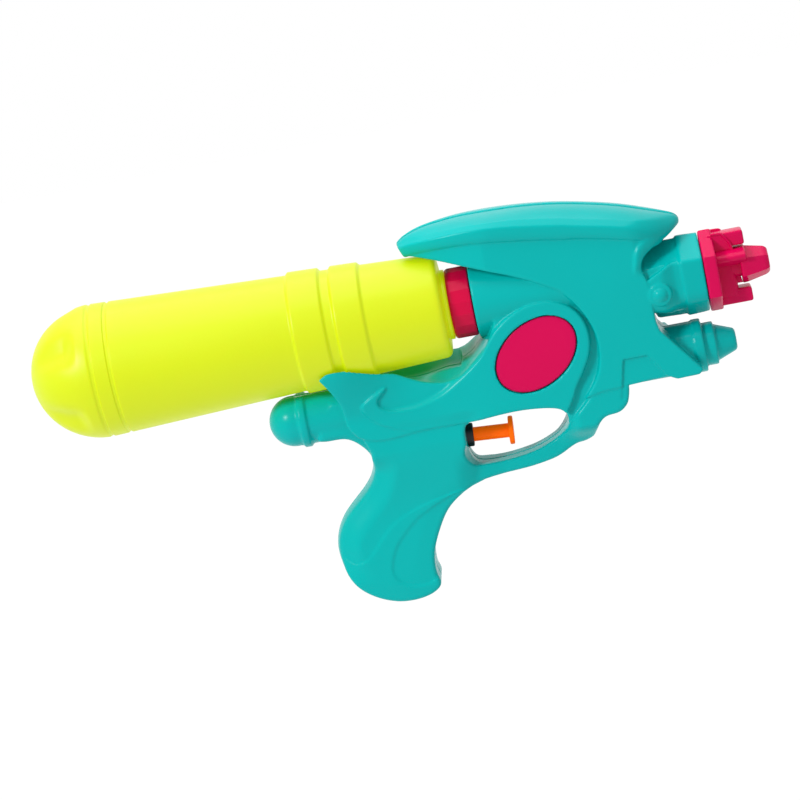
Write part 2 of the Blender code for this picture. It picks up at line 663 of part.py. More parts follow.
def build_collar():
    shape = [(COLLAR_REAR, 0), (COLLAR_REAR, COLLAR_R - 0.8), (COLLAR_REAR + 0.8, COLLAR_R)]
    shape += [(COLLAR_FRONT - 0.8, COLLAR_R), (COLLAR_FRONT, COLLAR_R - 0.8), (COLLAR_FRONT, COLLAR_NECK_R)]
    shape += [(SOCKET_INNER + CLEAR, COLLAR_NECK_R), (SOCKET_INNER + CLEAR, COLLAR_FLANGE_R)]
    shape += [(COLLAR_END, COLLAR_FLANGE_R), (COLLAR_END, SPIGOT_R), (COLLAR_END + SPIGOT_LENGTH, SPIGOT_R)]
    shape += [(COLLAR_END + SPIGOT_LENGTH, 0)]
    collar = lathe(shape, 0.0, COLLAR_FACETS, smooth=False)
    cut(collar, ring(COLLAR_REAR - 2, WEB_FACE, NECK_R + 0.4, SPIGOT_R, steps=30))
    cut(collar, rod(COLLAR_REAR - 2, WEB_FACE - SPIGOT_LENGTH, SPIGOT_R + 1))
    start = COLLAR_REAR - 3
    turns = (FLANGE_FACE + 1.5 + THREAD_TURNS * THREAD_PITCH + 0.6 - start) / THREAD_PITCH
    cut(collar, solid(helix(NECK_R, THREAD_PITCH, start, turns, THREAD_WIRE + 0.4, 16, 1)))
    cut(collar, rod(COLLAR_REAR, COLLAR_END + SPIGOT_LENGTH + 2, SPIGOT_BORE, steps=10))
    tidy(collar, 0.1)
    collar.location.z = TANK_Z * MM
    finish("tank_collar", collar, PINK, 0.3)


def build_hoses(anchors):
    inlet, outlet = [
        [(x + way * math.cos(PUMP_TILT), y, z - way * math.sin(PUMP_TILT)) for way in (0, 6, 14)]
        for x, y, z in anchors
    ]
    reach = WEB_FACE - 0.3
    dip = [(reach, 0, 0), (reach - 9, 0, 0), (reach - 20, 0, 0), (reach - 80, 0, -0.2 * DIP_DROP)]
    dip += [(reach - 125, 0, -0.8 * DIP_DROP), (reach - DIP_REACH, 0, -DIP_DROP)]
    tube = hose(dip)
    tube.location.z = TANK_Z * MM
    finish("dip_tube", tube, CLEARISH, 0.35)
    nose = COLLAR_END + 0.4
    feed = inlet + [(60, VALVE_Y, 51.5), (78, 5, 52), (94, 4, 62), (96, 2, 84)]
    feed += [(86, 1, 94), (nose + 14, 0, TANK_Z), (nose + HOSE_LEAD, 0, TANK_Z), (nose, 0, TANK_Z)]
    finish("feed_hose", hose(feed), CLEARISH, 0.35)
    back = BARREL_FRONT - WALL - CLEAR - 3 - 0.4
    out = outlet + [(62, -VALVE_Y, 51), (84, -5, 51.5), (101, -4, 60)]
    out += [(110, -2, 78), (121, 0, BARREL_Z), (132, 0, BARREL_Z)]
    out += [(back - HOSE_LEAD, 0, BARREL_Z), (back, 0, BARREL_Z)]
    finish("delivery_hose", hose(out), CLEARISH, 0.35)


def pump_piece(name, obj, frame, rgb, roughness, metallic=0.0):
    finish(name, obj, rgb, roughness, metallic)
    obj.parent = frame
    return obj


def build_pump():
    frame = bpy.data.objects.new("pump_axis", None)
    bpy.context.scene.collection.objects.link(frame)
    frame.location = (PUMP_X * MM, 0, PUMP_Z * MM)
    frame.rotation_euler = (0, PUMP_TILT, 0)

    barrel = rod(PUMP_BACK, PUMP_FRONT, PUMP_R, steps=24)
    join(barrel, block(PUMP_BACK + 2, RISER_U + 4, -VALVE_Y - 4, VALVE_Y + 4, 3, RISER_TOP))
    spigot_end = RISER_U + 4 + VALVE_SOCKET
    for side in (-1, 1):
        stub = rod(RISER_U + 2, spigot_end, SPIGOT_R, steps=12)
        stub.data.transform(Matrix.Translation((0, side * VALVE_Y, VALVE_V)))
        join(barrel, stub)
    cut(barrel, rod(PUMP_BACK + WALL, PUMP_FRONT + 2, PUMP_BORE, steps=24))
    cut(barrel, rod(0, VALVE_V, 1.6, steps=10, place=upright(RISER_U, 0, 0)))
    drill = Matrix.Translation((RISER_U, -VALVE_Y, VALVE_V)) @ Matrix.Rotation(math.pi / 2, 4, "Z")
    cut(barrel, rod(-0.9, 2 * VALVE_Y + 0.9, 1.3, steps=10, place=drill))
    for side in (-1, 1):
        bit = Matrix.Translation((0, side * VALVE_Y, VALVE_V))
        cut(barrel, rod(RISER_U, spigot_end + 2, SPIGOT_BORE, steps=10, place=bit))
    pump_piece("pump_cylinder", tidy(barrel), frame, MILK, 0.4)

    lip = [(-GLAND_REACH, SHAFT_R + CLEAR), (-GLAND_REACH, PUMP_BORE - CLEAR), (-0.6, PUMP_BORE - CLEAR)]
    lip += [(0, PUMP_BORE - CLEAR - 0.6), (0, SHAFT_R + CLEAR)]
    pump_piece("gland_ring", lathe(lip, steps=24, closed=True), frame, BLACK, 0.4)

    cup_front = -GLAND_REACH - CLEAR - 0.2
    cup_back = cup_front - CUP_T
    head_back = cup_back - CLEAR - 1.2
    shape = [(head_back, 0), (head_back, TAIL_R + 1), (cup_back - CLEAR, TAIL_R + 1)]
    shape += [(cup_back - CLEAR, TAIL_R), (cup_front + CLEAR, TAIL_R), (cup_front + CLEAR, SHAFT_R)]
    flange_end = SHAFT_LENGTH + FLANGE_T
    shape += [(SHAFT_LENGTH, SHAFT_R), (SHAFT_LENGTH, FLANGE_R - 0.7), (SHAFT_LENGTH + 0.7, FLANGE_R)]
    shape += [(flange_end - 0.7, FLANGE_R), (flange_end, FLANGE_R - 0.7), (flange_end, 0)]
    pump_piece("trigger_plunger", lathe(shape, steps=24), frame, ORANGE, 0.35)
    cup = ring(cup_back, cup_front, PUMP_BORE - CLEAR, TAIL_R + CLEAR, steps=24)
    pump_piece("piston_cup", cup, frame, BLACK, 0.7)
    start = PUMP_BACK + WALL + SPRING_WIRE + CLEAR
    length = head_back - CLEAR - SPRING_WIRE - start
    coil = helix(SPRING_R, length / SPRING_TURNS, start, SPRING_TURNS, SPRING_WIRE, 10, 0)
    pump_piece("return_spring", solid(coil, smooth=True), frame, STEEL, 0.3, 1.0)

    base = RISER_U + 4 + CLEAR
    seat = base + VALVE_SOCKET - CLEAR + 0.3
    room = seat + VALVE_SEAT
    mouth = room + 2 * BALL_R + BALL_LIFT + 2 * BALL_GAP + CAP_PLUG
    anchors = []
    for label, side in (("inlet", 1), ("outlet", -1)):
        y = side * VALVE_Y * MM
        shape = [(base, SPIGOT_R + CLEAR), (base, VALVE_R), (mouth, VALVE_R), (mouth, CHAMBER_R)]
        shape += [(room, CHAMBER_R), (room, SPIGOT_BORE), (seat, SPIGOT_BORE), (seat, SPIGOT_R + CLEAR)]
        body = lathe(shape, steps=16, closed=True)
        plug = mouth - CAP_PLUG
        face = mouth + CLEAR
        step = face + CAP_FLANGE
        end = step + VALVE_SOCKET
        shape = [(plug, SPIGOT_BORE), (plug, CHAMBER_R - CLEAR), (face, CHAMBER_R - CLEAR), (face, VALVE_R)]
        shape += [(step, VALVE_R), (step, SPIGOT_R), (end, SPIGOT_R), (end, SPIGOT_BORE)]
        cap = lathe(shape, steps=16, closed=True)
        rest = room + BALL_R + BALL_GAP if side < 0 else plug - BALL_R - BALL_GAP
        bm = bmesh.new()
        bmesh.ops.create_icosphere(bm, subdivisions=2, radius=BALL_R)
        ball = solid(bm, smooth=True)
        for obj in (body, cap, ball):
            obj.location = (0, y, VALVE_V * MM)
        ball.location.x = rest * MM
        pump_piece(label + "_valve_body", body, frame, MILK, 0.4)
        pump_piece(label + "_valve_cap", cap, frame, MILK, 0.4)
        pump_piece(label + "_valve_ball", ball, frame, STEEL, 0.15, 1.0)
        anchors.append(tuple(PUMP @ Vector((step + 0.4, side * VALVE_Y, VALVE_V))))
    return anchors


def build_nozzle():
    face = BARREL_FRONT + CLEAR
    front = face + NOZZLE_DISC
    shape = [(face, 0), (face, NOZZLE_R), (front - 0.9, NOZZLE_R), (front, NOZZLE_R - 0.9), (front, 0)]
    head = lathe(shape, 0.0, 6, math.pi / 2, smooth=False)
    hub = [(front - 1, 0), (front - 1, 10.4), (front + 12.6, 9.4), (front + 13.6, 8.2)]
    hub += [(NOZZLE_REACH - 1.6, 6.2), (NOZZLE_REACH, 4.6), (NOZZLE_REACH, 0)]
    join(head, lathe(hub, 0.0, 6, math.pi / 2, smooth=False))
    join(head, block(front - 2, front + 13, -PRONG_W, PRONG_W, 6.1, 17.15))
    join(head, block(front - 2, front + 14, -PRONG_W, PRONG_W, -17.4, -6.1))
    cut(head, block(front + 6, front + 20, -PRONG_W - 3, PRONG_W + 3, 9.9, 10.3))
    back = BARREL_FRONT - WALL - CLEAR
    tail = back - 3
    end = tail - SPIGOT_LENGTH
    shape = [(face + 2, 0), (face + 2, NOZZLE_PLUG_R), (back, NOZZLE_PLUG_R), (back, NOZZLE_FLANGE_R)]
    shape += [(tail, NOZZLE_FLANGE_R), (tail, SPIGOT_R), (end, SPIGOT_R), (end, 0)]
    join(head, lathe(shape, 0.0, 20))
    cut(head, rod(end - 2, NOZZLE_REACH + 2, JET_R, steps=12))
    tidy(head)
    head.location.z = BARREL_Z * MM
    finish("nozzle_head", head, PINK, 0.28)


clear_scene()
build_shells()
build_screws()
build_ovals()
build_tank()
build_collar()
build_hoses(build_pump())
build_nozzle()
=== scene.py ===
import math

import bmesh
import bpy
import numpy as np
from mathutils import Matrix, Vector


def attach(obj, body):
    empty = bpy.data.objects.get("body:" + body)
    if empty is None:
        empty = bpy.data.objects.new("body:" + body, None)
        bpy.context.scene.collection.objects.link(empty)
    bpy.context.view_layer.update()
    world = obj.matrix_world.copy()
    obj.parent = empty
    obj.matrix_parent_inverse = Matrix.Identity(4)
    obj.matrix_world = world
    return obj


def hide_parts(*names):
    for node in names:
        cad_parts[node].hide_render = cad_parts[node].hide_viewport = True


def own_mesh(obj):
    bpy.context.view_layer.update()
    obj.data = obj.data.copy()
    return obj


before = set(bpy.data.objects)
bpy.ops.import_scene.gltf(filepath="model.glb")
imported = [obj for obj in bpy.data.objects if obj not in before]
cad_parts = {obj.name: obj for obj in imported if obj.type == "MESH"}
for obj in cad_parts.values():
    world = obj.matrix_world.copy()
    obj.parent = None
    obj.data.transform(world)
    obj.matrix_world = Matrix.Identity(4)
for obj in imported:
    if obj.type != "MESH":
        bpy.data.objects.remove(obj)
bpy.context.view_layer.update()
mm = 0.001  # every size below is in millimetres and is scaled as its mesh is made
print("frame loaded with", len(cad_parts), "nodes")


# Plain numeric helpers

def smoothStep(t):
    t = np.clip(t, 0, 1)
    return t * t * (3 - 2 * t)


def ramp(v, start, end):
    # a soft step from 0 at start to 1 at end
    return smoothStep((v - start) / (end - start))


def softMin(a, b, k):
    h = np.clip(0.5 + 0.5 * (b - a) / k, 0, 1)
    return b + (a - b) * h - k * h * (1 - h)


def softMax(a, b, k):
    return -softMin(-a, -b, k)


def flow(points, cuts=8, closed=False):
    # Catmull-Rom curve through the points: a cubic between each pair, with matching slopes
    p = np.array(points, float)
    n = len(p)
    i = np.arange(n if closed else n - 1)
    pick = (lambda k: p[k % n]) if closed else (lambda k: p[np.clip(k, 0, n - 1)])
    p0, p1, p2, p3 = [pick(i + k)[:, None, :] for k in (-1, 0, 1, 2)]
    t = np.linspace(0, 1, cuts, endpoint=False)[None, :, None]
    bend = (2 * p0 - 5 * p1 + 4 * p2 - p3) * t ** 2 + (3 * p1 - p0 - 3 * p2 + p3) * t ** 3
    out = (0.5 * (2 * p1 + (p2 - p0) * t + bend)).reshape(-1, p.shape[1])
    return out if closed else np.vstack([out, p[-1:]])


def along(points):
    # a height as a smooth function of x, through (x, height) points
    dense = flow(points)
    return lambda x: np.interp(x, dense[:, 0], dense[:, 1])


def fullTurn(count):
    return np.linspace(0, 2 * math.pi, count, endpoint=False)


def ellipseLoop(centre, semi, turn, count=160):
    t = fullTurn(count)
    u, v = semi[0] * np.cos(t), semi[1] * np.sin(t)
    c, s = math.cos(math.radians(turn)), math.sin(math.radians(turn))
    return np.stack([centre[0] + u * c - v * s, centre[1] + u * s + v * c], 1)


def outlineDistance(loop, x, z):
    # signed distance from the points (x, z) to a closed outline, negative inside
    best = np.full(np.broadcast(x, z).shape, 1e9, np.float32)
    inside = np.zeros(best.shape, bool)
    for (ax, az), (bx, bz) in zip(loop, np.roll(loop, -1, 0)):
        ux, uz = bx - ax, bz - az
        size = ux * ux + uz * uz
        if size < 1e-9:
            continue
        t = np.clip(((x - ax) * ux + (z - az) * uz) / size, 0, 1)
        best = np.minimum(best, (x - ax - t * ux) ** 2 + (z - az - t * uz) ** 2)
        if az != bz:
            inside ^= ((az > z) != (bz > z)) & (x < ux * (z - az) / uz + ax)
    best = np.sqrt(best)
    return np.where(inside, -best, best).astype(np.float32)


# Mesh helpers

def addObject(name, data):
    obj = bpy.data.objects.new(name, data)
    bpy.context.scene.collection.objects.link(obj)
    return obj


def putMesh(name, points, faces):
    # points in millimetres, faces as an array of quads or a list of index tuples
    mesh = bpy.data.meshes.new(name)
    mesh.from_pydata((np.asarray(points, float) * mm).tolist(), [], [tuple(f) for f in faces])
    mesh.validate()
    mesh.polygons.foreach_set("use_smooth", np.full(len(mesh.polygons), True))
    mesh.update()
    return addObject(name, mesh)


def gridFaces(rows, cols):
    # quads between neighbouring rows and columns of a grid whose columns close on themselves
    a = np.arange(rows * cols).reshape(rows, cols)
    nxt = np.roll(a, -1, 1)
    return np.stack([a[:-1], nxt[:-1], nxt[1:], a[1:]], -1).reshape(-1, 4)


def closedGrid(grid):
    # a grid of points whose columns wrap and whose first and last rows are capped by one point in their middle
    rows, cols = grid.shape[:2]
    points = np.vstack([grid.reshape(-1, 3), grid[0].mean(0), grid[-1].mean(0)])
    faces = gridFaces(rows, cols).tolist()
    ring = np.arange(cols)
    nxt = np.roll(ring, -1)
    faces += [(rows * cols, b, a) for a, b in zip(ring, nxt)]
    last = (rows - 1) * cols
    faces += [(rows * cols + 1, last + a, last + b) for a, b in zip(ring, nxt)]
    return points, faces


def turnedGrid(profile, axisZ, sides, shape=None):
    # a profile of (x, radius) points carried round the X axis; shape scales the radius by angle and x
    p = np.array(profile, float)
    t = fullTurn(sides)
    r = np.repeat(p[:, 1:2], sides, 1)
    if shape is not None:
        r = r * shape(p[:, 0:1], t[None, :])
    return np.stack([np.repeat(p[:, 0:1], sides, 1), r * np.cos(t), r * np.sin(t) + axisZ], -1)


def turned(profile, axisZ, sides, shape=None):
    return closedGrid(turnedGrid(profile, axisZ, sides, shape))


def softCorners(profile, radius, cuts=5):
    # an open profile with each corner replaced by a short curve of about the given radius
    p = np.array(profile, float)
    out = [p[0]]
    for a, b, c in zip(p, p[1:], p[2:]):
        ba, bc = a - b, c - b
        la, lc = np.linalg.norm(ba), np.linalg.norm(bc)
        reach = min(radius, 0.45 * la, 0.45 * lc)
        start, end = b + ba / la * reach, b + bc / lc * reach
        for t in np.linspace(0, 1, cuts):
            out.append((1 - t) ** 2 * start + 2 * t * (1 - t) * b + t * t * end)
    out.append(p[-1])
    return np.array(out)


def unit(v):
    return v / np.linalg.norm(v, axis=1, keepdims=True)


def insetLoop(loop, depth):
    # each point of a closed outline moved inwards along the bisector of its corner
    before, after = np.roll(loop, 1, 0), np.roll(loop, -1, 0)
    a, b = unit(loop - before), unit(after - loop)
    area = np.sum(loop[:, 0] * after[:, 1] - after[:, 0] * loop[:, 1])
    normal = np.stack([-(a + b)[:, 1], (a + b)[:, 0]], 1) * np.sign(area)
    size = np.linalg.norm(normal, axis=1, keepdims=True)
    return loop + normal / size * np.minimum(2 / size, 1.6) * depth


def pillow(loop, start, end, edge, order=(0, 2, 1), cuts=5):
    # an outline carried along one axis from start to end, with quarter-round edges at both ends
    # order says which of outline x, outline y and level becomes each of x, y and z
    t = np.linspace(0, math.pi / 2, cuts)
    levels = [(start + edge * (1 - math.sin(a)), edge * (1 - math.cos(a))) for a in t[::-1]]
    levels += [(end - edge * (1 - math.sin(a)), edge * (1 - math.cos(a))) for a in t]
    rows = []
    for level, depth in levels:
        ring = insetLoop(np.array(loop, float), depth)
        rows.append(np.stack([ring[:, 0], ring[:, 1], np.full(len(ring), level)], -1)[:, list(order)])
    return closedGrid(np.array(rows))


def tube(path, radius, sides=10):
    # a circle carried along a path, square to it
    p = np.array(path, float)
    heading = unit(np.gradient(p, axis=0))
    side = unit(np.cross(heading, [0.0, 1.0, 0.0]))
    up = np.cross(side, heading)
    t = fullTurn(sides)
    ring = np.cos(t)[None, :, None] * side[:, None] + np.sin(t)[None, :, None] * up[:, None]
    return closedGrid(p[:, None] + radius * ring)


def merged(*parts):
    points, faces, start = [], [], 0
    for spots, quads in parts:
        points.append(spots)
        faces += [tuple(i + start for i in f) for f in quads]
        start += len(spots)
    return np.vstack(points), faces


def outward(obj):
    # turn every closed skin of a piece so that its faces point out
    bm = bmesh.new()
    bm.from_mesh(obj.data)
    bmesh.ops.remove_doubles(bm, verts=bm.verts, dist=1e-7)
    bmesh.ops.recalc_face_normals(bm, faces=bm.faces)
    bm.to_mesh(obj.data)
    bm.free()
    return obj


def place(obj, body, node, material):
    obj.data.materials.append(material)
    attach(obj, body)
    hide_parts(node)
    return obj


def sharpen(obj, degrees):
    # smooth shading with hard edges where faces meet at more than the angle
    obj.data.set_sharp_from_angle(angle=math.radians(degrees))
    return obj


# Shader helpers

class Sock:
    # a socket that takes part in Python sums; each sum adds a Math node

    def __init__(self, tree, socket):
        self.tree = tree
        self.socket = socket

    def node(self, kind, settings=None, out=0, **inputs):
        made = self.tree.nodes.new(kind)
        for key, value in (settings or {}).items():
            setattr(made, key, value)
        for key, value in inputs.items():
            spot = made.inputs[int(key[1:]) if key[1:].isdigit() else key]  # i0 is the first input
            if isinstance(value, Sock):
                self.tree.links.new(value.socket, spot)
            else:
                spot.default_value = value
        return Sock(self.tree, made.outputs[out])

    def math(self, operation, a, b):
        return self.node("ShaderNodeMath", {"operation": operation}, i0=a, i1=b)

    def __add__(self, other):
        return self.math("ADD", self, other)

    def __sub__(self, other):
        return self.math("SUBTRACT", self, other)

    def __rsub__(self, other):
        return self.math("SUBTRACT", other, self)

    def __mul__(self, other):
        return self.math("MULTIPLY", self, other)

    __radd__, __rmul__ = __add__, __mul__


def newMaterial(name):
    mat = bpy.data.materials.new(name)
    mat.use_nodes = True
    shader = mat.node_tree.nodes["Principled BSDF"]
    coords = mat.node_tree.nodes.new("ShaderNodeTexCoord")
    return mat, shader, Sock(mat.node_tree, coords.outputs["Object"])


def link(sock, node, name):
    sock.tree.links.new(sock.socket, node.inputs[name])


def mouldedPlastic(name, look):
    # moulded plastic: slow colour drift, fine orange peel and a faintly uneven gloss, and where an emission strength is
    # given, a painted glow in its lighter colour that lights the part from within though it is no lamp
    mat, shader, spot = newMaterial(name)
    drift = spot.node("ShaderNodeTexNoise", Vector=spot, Scale=look["driftScale"], Detail=2.0)
    peel = spot.node("ShaderNodeTexNoise", Vector=spot, Scale=look["peelScale"], Detail=1.0)
    deep, light = (*look["deep"], 1), (*look["light"], 1)
    colour = spot.node("ShaderNodeMix", {"data_type": "RGBA"}, out=2, i0=drift, i6=deep, i7=light)
    link(colour, shader, "Base Color")
    link(look["rough"] + look["roughSpread"] * (drift - 0.5), shader, "Roughness")
    bump = spot.node("ShaderNodeBump", Height=peel, Strength=look["peel"], Distance=0.0002)
    link(bump, shader, "Normal")
    # the emission strength set here is painted light: a constant glow in the part's lighter colour that brightens its
    # shaded sides
    for socket, value in (("Subsurface Weight", look.get("glow", 0.0)), ("Subsurface Scale", 0.004),
                          ("Metallic", look.get("metal", 0.0)), ("Specular IOR Level", look.get("shine", 0.4)),
                          ("Emission Strength", look.get("paintedGlow", 0.0)), ("Emission Color", light)):
        shader.inputs[socket].default_value = value
    return mat


gloss = dict(driftScale=22.0, peelScale=900.0, rough=0.24, roughSpread=0.06, peel=0.05)  # shared where not given
teal = mouldedPlastic("tealPlastic", dict(
    gloss, deep=(0.0004, 0.425, 0.41), light=(0.0006, 0.47, 0.455), driftScale=18.0, shine=0.11))
# the tank's emission is a painted glow: it brightens the tank's shaded underside, and its light tints the saddle below
# it green
yellow = mouldedPlastic("yellowTankPlastic", dict(
    gloss, deep=(0.42, 0.495, 0.0), light=(0.46, 0.54, 0.0005), driftScale=12.0, peelScale=650.0,
    rough=0.40, roughSpread=0.08, peel=0.08, glow=0.25, shine=0.36, paintedGlow=0.55))
pink = mouldedPlastic("pinkTrimPlastic", dict(
    gloss, deep=(0.64, 0.0005, 0.078), light=(0.70, 0.001, 0.09), shine=0.12))
collarPink = mouldedPlastic("collarPlastic", dict(
    gloss, deep=(0.60, 0.0005, 0.048), light=(0.68, 0.001, 0.056), driftScale=30.0, shine=0.14))
# the trigger's emission is a painted glow that brightens it where it sits in the shade of the finger gap
orange = mouldedPlastic("triggerPlastic", dict(
    gloss, deep=(0.90, 0.115, 0.0006), light=(0.96, 0.13, 0.001), driftScale=40.0, rough=0.34, shine=0.10, paintedGlow=0.4))
black = mouldedPlastic("glandPlastic", dict(
    gloss, deep=(0.006, 0.007, 0.010), light=(0.012, 0.013, 0.017), driftScale=60.0, peelScale=1200.0,
    rough=0.42, roughSpread=0.10, peel=0.12))
rubber = mouldedPlastic("sealRubber", dict(
    gloss, deep=(0.010, 0.010, 0.011), light=(0.020, 0.020, 0.021), driftScale=80.0, peelScale=1500.0,
    rough=0.66, roughSpread=0.12, peel=0.20))
milk = mouldedPlastic("pumpPlastic", dict(
    gloss, deep=(0.70, 0.70, 0.66), light=(0.78, 0.78, 0.75), driftScale=30.0,
    rough=0.40, roughSpread=0.08, peel=0.06, glow=0.3))
clearHose = mouldedPlastic("hosePlastic", dict(
    gloss, deep=(0.62, 0.68, 0.69), light=(0.74, 0.79, 0.80), driftScale=35.0, peelScale=700.0,
    rough=0.30, roughSpread=0.08, glow=0.4))
steel = mouldedPlastic("platedSteel", dict(
    gloss, deep=(0.50, 0.50, 0.51), light=(0.60, 0.60, 0.61), driftScale=120.0, peelScale=2500.0,
    rough=0.30, roughSpread=0.14, peel=0.10, metal=1.0))
print("materials made")


# The two body halves: a solid described by a field, negative inside, and skinned on a fine grid

shell = dict(
    cell=0.72, seam=0.04, groove=0.4, grooveW=0.5, span=((-51.5, 164.0), (-37.0, 135.5)), depth=25.5,
    tankZ=93.4, troughR=27.45, barrelZ=86.6,
    ovalFloor=15.0, ovalCentre=(73.9, 67.5), ovalSemi=(20.55, 14.75), ovalTurn=32.2,
    pump=(39.3, 33.0, 4.0), pumpBore=5.6, pumpMiddle=-3, pumpReach=9,
)

saddleEdge = along([
    (-30, 75), (-22, 75.4), (-19.5, 76.7), (-17.2, 77.6), (-10.7, 78), (-4, 77), (1.3, 75), (5, 73.6), (9.1, 71.8),
    (13, 69.4), (17.3, 66.9), (22, 64.6), (27.2, 62.9), (32.7, 62.2), (37.9, 63.4), (42, 65.8), (46, 69),
    (50, 72.5), (54, 77), (58, 84), (62, 96), (66, 112)])
farRise = along([
    (-30, 0.5), (0, 1.5), (12, 3.2), (20, 5.2), (30, 7.4), (36, 7.4), (42, 4.8), (46, 3.8), (50, 3), (56, 2),
    (66, 1)])
saddleMiddle = along([
    (-30, 66.3), (-5, 65.8), (10, 64.6), (20, 64), (28, 65), (36, 67), (45, 70.5), (50.5, 75.5), (55, 80), (60, 96),
    (66, 112)])
browHalf = along([
    (21.9, 1.2), (22.5, 3), (23.6, 4.8), (26, 7), (31, 10.3), (38, 13.8), (49, 17.6), (60, 20.1), (68, 20.5),
    (90, 20.5), (112, 20.5), (124, 20), (131, 17.6), (136, 14.4), (140, 10.8), (143, 7.8), (145.2, 5), (146.3, 3),
    (146.8, 0.8)])
browCrown = along([
    (21.5, 124), (24, 125.9), (26, 127.1), (31, 129), (38, 130.4), (49, 131.45), (60, 131.5), (75, 130.95),
    (90, 129.45), (105, 126.7), (120, 123), (132, 119), (140, 116.2), (145, 114.3), (147, 113.2)])
browLip = along([
    (21.5, 122.4), (23.1, 123.3), (28, 124.6), (37.3, 125.9), (47.2, 126.9), (56.3, 127.4), (65.3, 127.1),
    (74.1, 126), (84, 124.5), (94.8, 122.7), (102.6, 120.9), (114.9, 118.3), (123.7, 116), (131, 114.4),
    (138, 113.4), (147, 112)])
creaseRun = [
    (40.3, 121.7), (48.2, 122), (55.3, 122), (62, 121.4), (70.5, 120.3), (83, 118.5), (93.7, 116.7), (101.8, 115.6),
    (114, 113), (122.2, 111.1)]
browCrease = along([(21.5, 119.6), (24.3, 119.6), (31.7, 121), *creaseRun, (126.2, 110), (130, 109), (147, 105)])
barrelRadius = along([
    (110, 16.8), (128, 17.2), (138, 17.5), (142.2, 17.6), (142.9, 18.1), (143.4, 18.5), (146, 18.5), (153, 18.1),
    (160, 18)])

